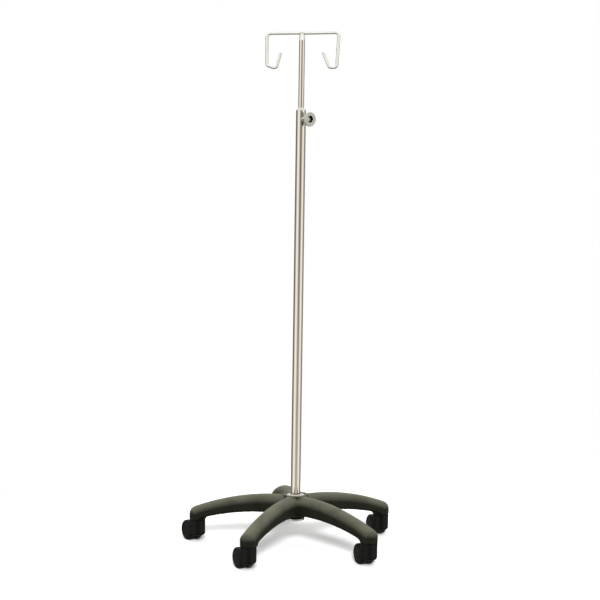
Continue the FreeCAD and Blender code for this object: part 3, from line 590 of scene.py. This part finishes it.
def hook_weld_field(x, y, z):
    """The weld between the neck and the bar: a fillet that stands just proud of both."""
    reach = np.hypot(x, y)
    neck = reach - (6.0 + (BAR_HEIGHT - z) * 1.5 / 18) + 0.05
    neck = np.maximum(neck, z - (BAR_HEIGHT - 0.4))
    rod = np.hypot(y, z - BAR_HEIGHT) - ROD_RADIUS + 0.05
    bead = 2.1 + 0.12 * np.sin(np.arctan2(y, x) * 14)
    seam = fillet_union(neck, rod, bead)
    return np.maximum(np.maximum(seam, np.abs(x) - 8.6), (BAR_HEIGHT - 8) - z)


def boss_weld_field(x, y, z):
    """The weld round the clamp boss, in the clamp's frame: Z is outward, along the screw."""
    tube = np.hypot(x, z) - TUBE_RADIUS + 0.05
    reach = np.hypot(x, y)
    boss = np.maximum(reach - BOSS_RADIUS + 0.05, 4 - z)
    bead = 1.1 + 0.1 * np.sin(np.arctan2(y, x) * 18)
    seam = fillet_union(tube, boss, bead)
    near = np.maximum(reach - (BOSS_RADIUS + 2.2), np.abs(z - 12.5) - 3.6)
    return np.maximum(seam, near)


def knob_ripple(angle, radius, height):
    """Shallow grip flutes round the knob's side."""
    if radius < 17.6 or not 35.2 < height < 38.4:
        return 0.0
    return -0.35 * (0.5 + 0.5 * math.cos(angle * 32))


# ---------------------------------------------------------------- materials


class Look:
    """A procedural material, and short ways to add nodes to it."""

    def __init__(self, name):
        self.material = bpy.data.materials.new(name)
        self.material.use_nodes = True
        self.tree = self.material.node_tree
        self.tree.nodes.clear()
        self.shader = self.node("ShaderNodeBsdfPrincipled")
        output = self.node("ShaderNodeOutputMaterial")
        self.tree.links.new(self.shader.outputs[0], output.inputs[0])
        self.coordinates = self.node("ShaderNodeTexCoord").outputs["Object"]

    def put(self, target, value):
        if isinstance(value, bpy.types.NodeSocket):
            self.tree.links.new(value, target)
        else:
            target.default_value = value

    def node(self, kind, inputs=None, **settings):
        made = self.tree.nodes.new(kind)
        for key, value in settings.items():
            setattr(made, key, value)
        for key, value in (inputs or {}).items():
            self.put(made.inputs[key], value)
        return made

    def noise(self, stretch, detail=3.0, roughness=0.55):
        """Noise of about one blob per 1/stretch metres along each axis."""
        place = self.node("ShaderNodeMapping", {"Vector": self.coordinates, "Scale": stretch})
        made = self.node(
            "ShaderNodeTexNoise",
            {"Vector": place.outputs[0], "Scale": 1.0, "Detail": detail, "Roughness": roughness},
        )
        return made.outputs["Fac"]

    def reach(self):
        """Distance from the Z axis."""
        place = self.node("ShaderNodeSeparateXYZ", {"Vector": self.coordinates})
        square_x = self.sum(place.outputs[0], place.outputs[0], "MULTIPLY")
        square_y = self.sum(place.outputs[1], place.outputs[1], "MULTIPLY")
        return self.sum(self.sum(square_x, square_y), 0.5, "POWER")

    def spread(self, factor, low, high, new_low=0.0, new_high=1.0):
        inputs = {"Value": factor, "From Min": low, "From Max": high, "To Min": new_low, "To Max": new_high}
        return self.node("ShaderNodeMapRange", inputs).outputs[0]

    def blend(self, factor, first, second):
        made = self.node("ShaderNodeMix", data_type="RGBA")
        self.put(made.inputs[0], factor)
        self.put(made.inputs[6], first)
        self.put(made.inputs[7], second)
        return made.outputs[2]

    def sum(self, first, second, kind="ADD"):
        made = self.node("ShaderNodeMath", operation=kind)
        self.put(made.inputs[0], first)
        self.put(made.inputs[1], second)
        return made.outputs[0]

    def set(self, **values):
        for key, value in values.items():
            self.put(self.shader.inputs[key.replace("_", " ")], value)

    def bump(self, height, depth, previous=None):
        """Relief of that depth in metres, on top of a previous one."""
        made = self.node("ShaderNodeBump", {"Strength": 1.0, "Distance": depth, "Height": height})
        if previous is not None:
            self.put(made.inputs["Normal"], previous)
        return made.outputs[0]


def colour(red, green, blue):
    return (red, green, blue, 1.0)


def metal(name, dark, light, smooth, dull, lines, depth=4e-6, wear=0.10):
    """Bare or plated metal: drawn or turned lines, hazy patches and fine scratches."""
    look = Look(name)
    grain = look.noise(lines, 4.0)
    patches = look.noise((22, 22, 9), 4.0)
    scratches = look.noise((260, 260, 1100), 2.0)
    tint = look.blend(look.spread(grain, 0.35, 0.68), dark, light)
    haze = look.spread(patches, 0.42, 0.72)
    tint = look.blend(look.sum(haze, 0.10, "MULTIPLY"), tint, colour(0.52, 0.48, 0.42))
    worn = look.spread(scratches, 0.62, 0.8, 0, wear)
    rough = look.sum(look.spread(patches, 0.35, 0.75, smooth, dull), worn)
    relief = look.bump(scratches, depth * 0.6, look.bump(grain, depth))
    look.set(Base_Color=tint, Metallic=1.0, Roughness=rough, Normal=relief)
    return look.material


def moulded(
    name, dark, light, worn, smooth, dull, grain_size=1500, grain_depth=2.2e-5, wear=0.5, sheen=0.5
):
    """Moulded plastic: spark-eroded grain, soft mottling and rubbed patches."""
    look = Look(name)
    grain = look.noise((grain_size,) * 3, 2.0)
    coarse = look.noise((grain_size * 0.28,) * 3, 3.0)
    mottle = look.noise((26, 26, 26), 5.0)
    rubbed = look.noise((70, 70, 70), 6.0, 0.65)
    tint = look.blend(look.spread(mottle, 0.32, 0.7), dark, light)
    marks = look.sum(look.spread(rubbed, 0.60, 0.82), wear, "MULTIPLY")
    tint = look.blend(marks, tint, worn)
    rough = look.sum(look.spread(mottle, 0.3, 0.75, smooth, dull), look.sum(marks, 0.12, "MULTIPLY"))
    relief = look.bump(coarse, grain_depth * 0.8, look.bump(grain, grain_depth))
    look.set(Base_Color=tint, Roughness=rough, Normal=relief, Specular_IOR_Level=sheen)
    return look.material


def turned_lines(name, dark, light, smooth, dull, pitch):
    """Metal faced on a lathe: rings round the pole's axis."""
    look = Look(name)
    reach = look.reach()
    rings = look.node("ShaderNodeTexNoise", {"Scale": pitch, "Detail": 3.0}, noise_dimensions="1D")
    look.put(rings.inputs["W"], reach)
    patches = look.noise((60, 60, 60), 4.0)
    tint = look.blend(look.spread(rings.outputs["Fac"], 0.35, 0.65), dark, light)
    rough = look.spread(patches, 0.35, 0.7, smooth, dull)
    relief = look.bump(rings.outputs["Fac"], 8e-6)
    look.set(Base_Color=tint, Metallic=1.0, Roughness=rough, Normal=relief)
    return look.material


def make_materials():
    """One material for each of the record's material slots, and a few for single pieces."""
    made = {}
    made["pole_steel"] = metal(
        "drawn_steel", colour(0.64, 0.61, 0.56), colour(0.74, 0.71, 0.66), 0.08, 0.15, (850, 850, 5)
    )
    made["hook_steel"] = metal(
        "bright_rod",
        colour(0.80, 0.80, 0.785),
        colour(0.87, 0.87, 0.855),
        0.20,
        0.26,
        (400, 400, 30),
        depth=1e-6,
        wear=0.02,
    )
    made["weld_steel"] = metal(
        "weld_bead", colour(0.46, 0.43, 0.38), colour(0.66, 0.64, 0.60), 0.22, 0.38, (500, 500, 500), 2e-5
    )
    made["flange_chrome"] = turned_lines(
        "faced_flange", colour(0.62, 0.60, 0.56), colour(0.74, 0.72, 0.68), 0.14, 0.26, 2600
    )
    made["collar_aluminium"] = turned_lines(
        "turned_collar", colour(0.66, 0.65, 0.62), colour(0.78, 0.77, 0.74), 0.22, 0.34, 2200
    )
    made["zinc_steel"] = metal(
        "zinc_plate", colour(0.48, 0.48, 0.46), colour(0.66, 0.66, 0.63), 0.28, 0.42, (300, 300, 300), 1e-5
    )
    made["base_nylon"] = moulded(
        "base_nylon_grain",
        colour(0.019, 0.019, 0.014),
        colour(0.030, 0.030, 0.022),
        colour(0.050, 0.049, 0.038),
        0.42,
        0.54,
        grain_depth=3.0e-5,
        wear=0.35,
        sheen=0.08,
    )
    made["caster_nylon"] = moulded(
        "caster_nylon_grain",
        colour(0.004, 0.004, 0.0035),
        colour(0.007, 0.007, 0.006),
        colour(0.022, 0.021, 0.018),
        0.36,
        0.50,
        wear=0.4,
        sheen=0.16,
    )
    made["wheel_nylon"] = moulded(
        "wheel_tread",
        colour(0.004, 0.004, 0.0035),
        colour(0.008, 0.008, 0.007),
        colour(0.030, 0.028, 0.024),
        0.42,
        0.58,
        grain_size=900,
        wear=0.7,
        sheen=0.16,
    )
    made["cap_plastic"] = moulded(
        "wheel_disc",
        colour(0.005, 0.005, 0.0045),
        colour(0.008, 0.008, 0.007),
        colour(0.024, 0.023, 0.020),
        0.24,
        0.36,
        grain_depth=1.0e-5,
        wear=0.3,
        sheen=0.25,
    )
    made["knob_plastic"] = moulded(
        "knob_shell",
        colour(0.33, 0.325, 0.285),
        colour(0.40, 0.395, 0.345),
        colour(0.25, 0.24, 0.20),
        0.34,
        0.46,
        grain_depth=1.2e-5,
        wear=0.4,
    )
    made["glide_nylon"] = moulded(
        "glide_sleeve",
        colour(0.60, 0.60, 0.55),
        colour(0.70, 0.70, 0.65),
        colour(0.45, 0.44, 0.40),
        0.35,
        0.48,
        grain_depth=0.8e-5,
        wear=0.3,
    )
    return made


materials = make_materials()


def dress(piece, material, body=None, replaced=()):
    """Give a piece its material and its body, and hide the nodes that it stands for."""
    piece.data.materials.clear()
    piece.data.materials.append(materials[material])
    if body:
        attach(piece, body)
    if replaced:
        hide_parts(*replaced)
    return piece


# ---------------------------------------------------------------- the pieces

# base
shell_form = net(base_field, (-284.6, -284.6, 58.2), (284.6, 284.6, 142.0), 1.6)
shell = new_object("base_shell", shell_form)
dress(shell, "base_nylon", "base", ["base_spider"])

flange = new_object(
    "flange_plate",
    lathe(
        [
            (12.75, FLANGE_BOTTOM, 0.2),
            (23.5, FLANGE_BOTTOM, 0.3),
            (23.5, 138.0, 0.9),
            (14.9, 138.0, 0.6),
            (14.6, 139.8, 0.6),
            (12.75, 139.8, 0.3),
        ],
    ),
)
dress(flange, "flange_chrome", "base", ["top_flange"])

washer = new_object(
    "hub_washer",
    lathe(
        [(10.2, 72.0, 0.2), (24.0, 72.0, 1.0), (24.0, 76.65, 0.4), (5.6, 76.65, 0.2), (5.6, 76.4, 0.1)],
    ),
)
dress(washer, "zinc_steel", "base", ["bottom_washer"])

# pole
lower_tube = new_object(
    "lower_tube",
    lathe(
        [
            (TUBE_BORE, TUBE_FOOT, 0.3),
            (TUBE_RADIUS, TUBE_FOOT, 0.5),
            (TUBE_RADIUS, TUBE_TOP, 0.5),
            (TUBE_BORE, TUBE_TOP, 0.3),
        ],
        segments=160,
    ),
)
dress(lower_tube, "pole_steel", "base", ["outer_tube"])

collar = new_object(
    "mouth_collar",
    lathe(
        [
            (7.58, 1086.0, 0.3),
            (11.15, 1086.0, 0.5),
            (11.15, TUBE_TOP + 0.05, 0.05),
            (12.4, TUBE_TOP + 0.05, 0.2),
            (12.35, TUBE_TOP + 1.5, 0.8),
            (8.8, 1139.4, 0.5),
            (7.58, 1140.0, 0.25),
        ],
        segments=128,
    ),
)
dress(collar, "collar_aluminium", "base", ["guide_bushing"])

upper_tube = new_object(
    "upper_tube",
    lathe(
        [
            (POLE_BORE, POLE_FOOT, 0.2),
            (POLE_RADIUS, POLE_FOOT, 0.3),
            (POLE_RADIUS, 316.0, 0.8),
            (8.4, 317.2, 0.8),
            (8.4, 317.9, 0.8),
            (POLE_RADIUS, 319.0, 0.8),
            (POLE_RADIUS, POLE_TOP, 0.35),
            (POLE_BORE, POLE_TOP, 0.2),
        ],
        segments=128,
    ),
)
dress(upper_tube, "pole_steel", "pole", ["inner_tube"])

neck = new_object(
    "hook_neck",
    lathe(
        [
            (0.0, 1279.0),
            (6.25, 1279.0, 0.8),
            (6.25, POLE_TOP - 0.1, 0.1),
            (POLE_RADIUS, POLE_TOP, 0.25),
            (7.4, POLE_TOP + 1.0, 1.0),
            (6.0, BAR_HEIGHT - 0.6, 0.8),
            (0.0, BAR_HEIGHT - 0.5),
        ],
    ),
)
dress(neck, "hook_steel", "pole", ["hook_plug"])

path, radii = hook_path()
rod = new_object("hook_rod", sweep(path, radii))
dress(rod, "hook_steel", "pole", ["hook_bar"])

hook_weld_form = net(hook_weld_field, (-9.4, -9.4, 1318.2), (9.4, 9.4, 1332.4), 0.4)
hook_weld = new_object("hook_weld", hook_weld_form)
dress(hook_weld, "weld_steel", "pole")

# clamp
outward = Vector((math.sin(math.radians(CLAMP_ANGLE)), -math.cos(math.radians(CLAMP_ANGLE)), 0))
sideways = Vector((0, 0, 1)).cross(outward)
clamp_place = Matrix.Translation((0, 0, CLAMP_HEIGHT * MM)) @ Matrix(
    (
        (sideways.x, 0, outward.x, 0),
        (sideways.y, 0, outward.y, 0),
        (0, 1, 0, 0),
        (0, 0, 0, 1),
    )
)

boss = new_object(
    "boss_stub",
    lathe(
        [(4.0, 11.3, 0.1), (BOSS_RADIUS, 11.3, 0.1), (BOSS_RADIUS, 21.7, 0.6), (4.0, 21.7, 0.3)],
    ),
    clamp_place,
)
dress(boss, "pole_steel", "base", ["clamp_boss"])

boss_weld_form = net(boss_weld_field, (-9.8, -9.8, 8.0), (9.8, 9.8, 17.0), 0.4)
boss_weld = new_object("boss_weld", boss_weld_form, clamp_place)
dress(boss_weld, "weld_steel", "base")

screw = new_object(
    "thumb_screw",
    lathe(
        [(0.0, 10.32), (3.2, 10.32, 0.1), (3.93, 11.1, 0.3), (3.93, 31.0, 0.6), (0.0, 31.0)],
    ),
    clamp_place,
)
dress(screw, "zinc_steel", "knob", ["clamp_screw"])

insert = new_object(
    "knob_sleeve",
    lathe(
        [(3.95, 24.0, 0.1), (6.2, 24.0, 0.1), (6.2, 30.8, 0.6), (3.95, 30.8, 0.3)],
    ),
    clamp_place,
)
dress(insert, "zinc_steel", "knob", ["knob_insert"])

knob = new_object(
    "knob_body",
    lathe(
        [
            (6.2, 22.4, 0.2),
            (8.6, 22.4, 0.6),
            (8.6, 25.4, 2.0),
            (15.6, 33.8, 2.5),
            (18.4, 34.8, 1.8),
            (18.4, 39.0, 2.2),
            (15.8, 39.0, 0.4),
            (15.4, 38.6, 0.4),
            (11.6, 38.6, 0.4),
            (11.2, 39.0, 0.4),
            (8.9, 39.0, 1.0),
            (8.9, 28.5, 0.8),
            (6.2, 28.5, 0.1),
        ],
        segments=256,
        ripple=knob_ripple,
    ),
    clamp_place,
)
dress(knob, "knob_plastic", "knob", ["clamp_knob"])

# painted shade: a thin near-black sleeve lining the knob's recess, so its wall reads as shaded
recess_shade_liner = new_object(
    "knob_recess_shade_liner",
    lathe([(8.4, 28.55, 0.1), (8.86, 28.55, 0.1), (8.86, 38.1, 0.2), (8.4, 37.9, 0.2)]),
    clamp_place,
)
dress(recess_shade_liner, "cap_plastic", "knob")

# casters
hood_form = net(housing_field, (-22.4, -22.4, 10.2), (50.0, 22.4, 62.0), 0.8)
tyre_form = lathe(WHEEL_OUTLINE, 240, tread_ripple)
disc_form = lathe(CAP_OUTLINE, 128)
for number, (leg, trail_angle) in enumerate(zip(LEGS, TRAIL_ANGLES)):
    leg_turn = math.radians(FIRST_LEG_ANGLE + LEG_PITCH * number)
    foot = Vector((math.cos(leg_turn), math.sin(leg_turn), 0)) * CASTER_CIRCLE * MM
    swivel = Matrix.Translation(foot) @ Matrix.Rotation(math.radians(trail_angle), 4, "Z")
    hood = new_object(f"{leg}_hood", hood_form, swivel)
    dress(hood, "caster_nylon", f"{leg}_caster", [f"{leg}_caster_housing"])
    for side, label in ((1, "left"), (-1, "right")):
        axle = Matrix.Translation((TRAIL * MM, 0, WHEEL_RADIUS * MM))
        wheel_place = swivel @ axle @ Matrix.Rotation(math.radians(-90 * side), 4, "X")
        tyre = new_object(f"{leg}_tyre_{label}", tyre_form, wheel_place)
        disc = new_object(f"{leg}_disc_{label}", disc_form, wheel_place)
        dress(tyre, "wheel_nylon", f"{leg}_{label}_wheel", [f"{leg}_wheel_{label}"])
        dress(disc, "cap_plastic", f"{leg}_{label}_wheel", [f"{leg}_cap_{label}"])

# the CAD nodes that no piece stands for are of nylon or of plated steel
NYLON_NODES = ("inner_tube_plug", "glide_ring", "pressure_pad")
for name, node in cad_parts.items():
    if node.hide_render:
        continue
    node.data.materials.clear()
    node.data.materials.append(materials["glide_nylon" if name in NYLON_NODES else "zinc_steel"])

# ---------------------------------------------------------------- floor, light and camera


def make_floor():
    """A white floor that runs out into the white backdrop."""
    look = Look("studio_floor")
    reach = look.reach()
    patches = look.noise((3, 3, 3), 3.0)
    tint = look.blend(patches, colour(0.835, 0.835, 0.835), colour(0.85, 0.85, 0.85))
    look.set(Base_Color=tint, Roughness=0.9, Specular_IOR_Level=0.1)
    glow = look.node("ShaderNodeEmission", {"Color": colour(1, 1, 1), "Strength": 1.0})
    mixed = look.node("ShaderNodeMixShader", {"Fac": look.spread(reach, 0.55, 1.0)})
    look.tree.links.new(look.shader.outputs[0], mixed.inputs[1])
    look.tree.links.new(glow.outputs[0], mixed.inputs[2])
    output = next(n for n in look.tree.nodes if n.type == "OUTPUT_MATERIAL")
    look.tree.links.new(mixed.outputs[0], output.inputs[0])
    half = 6.0
    mesh = bpy.data.meshes.new("studio_floor")
    corners = [(-half, -half, 0), (half, -half, 0), (half, half, 0), (-half, half, 0)]
    mesh.from_pydata(corners, [], [(0, 1, 2, 3)])
    mesh.materials.append(look.material)
    floor = bpy.data.objects.new("studio_floor", mesh)
    bpy.context.scene.collection.objects.link(floor)
    floor.visible_glossy = False
    floor.visible_diffuse = False
    return floor


# the studio round the stand, for reflections: degrees from the front, to the right, and the light there
STUDIO_BANDS = [
    (-180, (0.50, 0.49, 0.46)),
    (-152, (0.34, 0.335, 0.31)),
    (-126, (0.16, 0.155, 0.135)),
    (-92, (0.32, 0.31, 0.28)),
    (-66, (1.22, 1.19, 1.12)),
    (-46, (1.34, 1.31, 1.24)),
    (-30, (1.10, 1.06, 0.99)),
    (-15, (0.68, 0.62, 0.52)),
    (2, (0.62, 0.56, 0.46)),
    (20, (0.62, 0.57, 0.48)),
    (34, (0.74, 0.70, 0.62)),
    (50, (1.26, 1.23, 1.16)),
    (68, (1.32, 1.29, 1.23)),
    (84, (0.84, 0.82, 0.78)),
    (100, (0.36, 0.355, 0.34)),
    (128, (0.28, 0.28, 0.27)),
    (152, (0.42, 0.42, 0.40)),
    (180, (0.50, 0.49, 0.46)),
]
STUDIO_CEILING = (1.10, 1.09, 1.06)
STUDIO_GROUND = (0.34, 0.335, 0.32)
# the light that falls on matt surfaces, from the ceiling, the walls and the ground
SOFT_CEILING = (1.18, 1.18, 1.17)
SOFT_WALLS = (0.17, 0.17, 0.165)
SOFT_GROUND = (0.02, 0.02, 0.018)


def make_world():
    """White for the camera, and a studio of soft boxes for the light and the reflections."""
    world = bpy.data.worlds.new("studio")
    bpy.context.scene.world = world
    world.use_nodes = True
    tree = world.node_tree
    tree.nodes.clear()

    def node(kind, inputs=None, **settings):
        made = tree.nodes.new(kind)
        for key, value in settings.items():
            setattr(made, key, value)
        for key, value in (inputs or {}).items():
            if isinstance(value, bpy.types.NodeSocket):
                tree.links.new(value, made.inputs[key])
            else:
                made.inputs[key].default_value = value
        return made

    def spread(value, low, high, new_low=0.0, new_high=1.0):
        inputs = {"Value": value, "From Min": low, "From Max": high, "To Min": new_low, "To Max": new_high}
        return node("ShaderNodeMapRange", inputs, interpolation_type="SMOOTHSTEP").outputs[0]

    def blend(factor, first, second):
        inputs = {0: factor, 6: first, 7: second}
        return node("ShaderNodeMix", inputs, data_type="RGBA").outputs[2]

    direction = node("ShaderNodeTexCoord").outputs["Generated"]
    part = node("ShaderNodeSeparateXYZ", {"Vector": direction})
    front = node("ShaderNodeMath", {0: part.outputs[1], 1: -1.0}, operation="MULTIPLY")
    turn = node("ShaderNodeMath", {0: part.outputs[0], 1: front.outputs[0]}, operation="ARCTAN2")
    share = node(
        "ShaderNodeMapRange",
        {"Value": turn.outputs[0], "From Min": -math.pi, "From Max": math.pi},
    )
    bands = node("ShaderNodeValToRGB", {"Fac": share.outputs[0]})
    ramp = bands.color_ramp
    ramp.interpolation = "EASE"
    while len(ramp.elements) > 1:
        ramp.elements.remove(ramp.elements[-1])
    ramp.elements[0].position = 0.0
    ramp.elements[0].color = (*STUDIO_BANDS[0][1], 1)
    for degrees, light in STUDIO_BANDS[1:]:
        ramp.elements.new((degrees + 180) / 360).color = (*light, 1)
    # the dark place in the front where the photographer would stand
    squeezed = node("ShaderNodeVectorMath", {0: direction, 1: (0.55, 1, 1)}, operation="MULTIPLY")
    to_front = {0: squeezed.outputs[0], 1: (0.08, -0.98, -0.02)}
    place = node("ShaderNodeVectorMath", to_front, operation="DISTANCE")
    shaded = spread(place.outputs["Value"], 0.03, 0.24, 0.85, 0.0)
    walls = blend(shaded, bands.outputs[0], (0.10, 0.08, 0.05, 1))
    sky = blend(spread(part.outputs[2], 0.04, 0.34), walls, (*STUDIO_CEILING, 1))
    polished = blend(spread(part.outputs[2], -0.34, -0.60), sky, (*STUDIO_GROUND, 1))
    soft = blend(spread(part.outputs[2], 0.15, 0.60), (*SOFT_WALLS, 1), (*SOFT_CEILING, 1))
    matt = blend(spread(part.outputs[2], 0.0, -0.15), soft, (*SOFT_GROUND, 1))
    rays = node("ShaderNodeLightPath")
    light = blend(rays.outputs["Is Glossy Ray"], matt, polished)
    studio = node("ShaderNodeBackground", {"Color": light, "Strength": 1.0})
    backdrop = node("ShaderNodeBackground", {"Color": (1, 1, 1, 1), "Strength": 1.0})
    both = node("ShaderNodeMixShader", {"Fac": rays.outputs["Is Camera Ray"]})
    tree.links.new(studio.outputs[0], both.inputs[1])
    tree.links.new(backdrop.outputs[0], both.inputs[2])
    output = node("ShaderNodeOutputWorld")
    tree.links.new(both.outputs[0], output.inputs[0])


def make_light(name, azimuth, elevation, strength, width, lit, mirrored=False):
    """A soft light on some objects only; the azimuth is in degrees to the right of the front."""
    lamp = bpy.data.lights.new(name, "SUN")
    lamp.energy = strength
    lamp.angle = math.radians(width)
    made = bpy.data.objects.new(name, lamp)
    bpy.context.scene.collection.objects.link(made)
    side, up = math.radians(azimuth), math.radians(elevation)
    towards = Vector((math.sin(side) * math.cos(up), -math.cos(side) * math.cos(up), math.sin(up)))
    made.rotation_euler = towards.to_track_quat("Z", "Y").to_euler()
    made.visible_glossy = mirrored
    made.light_linking.receiver_collection = bpy.data.collections.new(name + "_receivers")
    for thing in lit:
        made.light_linking.receiver_collection.objects.link(thing)


CAMERA_PLACE = (0, -4.152, 1.117)
CAMERA_PITCH_YAW_ROLL = (6.44, 0.06, 0.84)
CAMERA_LENS = 97.4


def make_camera():
    pitch, yaw, roll = (math.radians(angle) for angle in CAMERA_PITCH_YAW_ROLL)
    ahead = Vector((math.sin(yaw) * math.cos(pitch), math.cos(yaw) * math.cos(pitch), -math.sin(pitch)))
    level = ahead.cross(Vector((0, 0, 1))).normalized()
    upright = level.cross(ahead)
    right = level * math.cos(roll) + upright * math.sin(roll)
    up = upright * math.cos(roll) - level * math.sin(roll)
    lens = bpy.data.cameras.new("camera")
    lens.sensor_width = 36.0
    lens.lens = CAMERA_LENS
    lens.clip_end = 100.0
    camera = bpy.data.objects.new("camera", lens)
    bpy.context.scene.collection.objects.link(camera)
    camera.matrix_world = Matrix.Translation(CAMERA_PLACE) @ Matrix(
        (
            (right.x, up.x, -ahead.x, 0),
            (right.y, up.y, -ahead.y, 0),
            (right.z, up.z, -ahead.z, 0),
            (0, 0, 0, 1),
        )
    )
    bpy.context.scene.camera = camera


floor = make_floor()
make_world()
make_light("key", 3.6, 30.0, 4.1, 11.0, (floor, knob))
make_light("top_light", 0.0, 92.0, 19.0, 22.0, (shell,))
make_light("rod_light", 0.0, 8.0, 0.12, 24.0, (rod, neck), mirrored=True)
make_camera()
bpy.context.scene.view_settings.view_transform = "Standard"
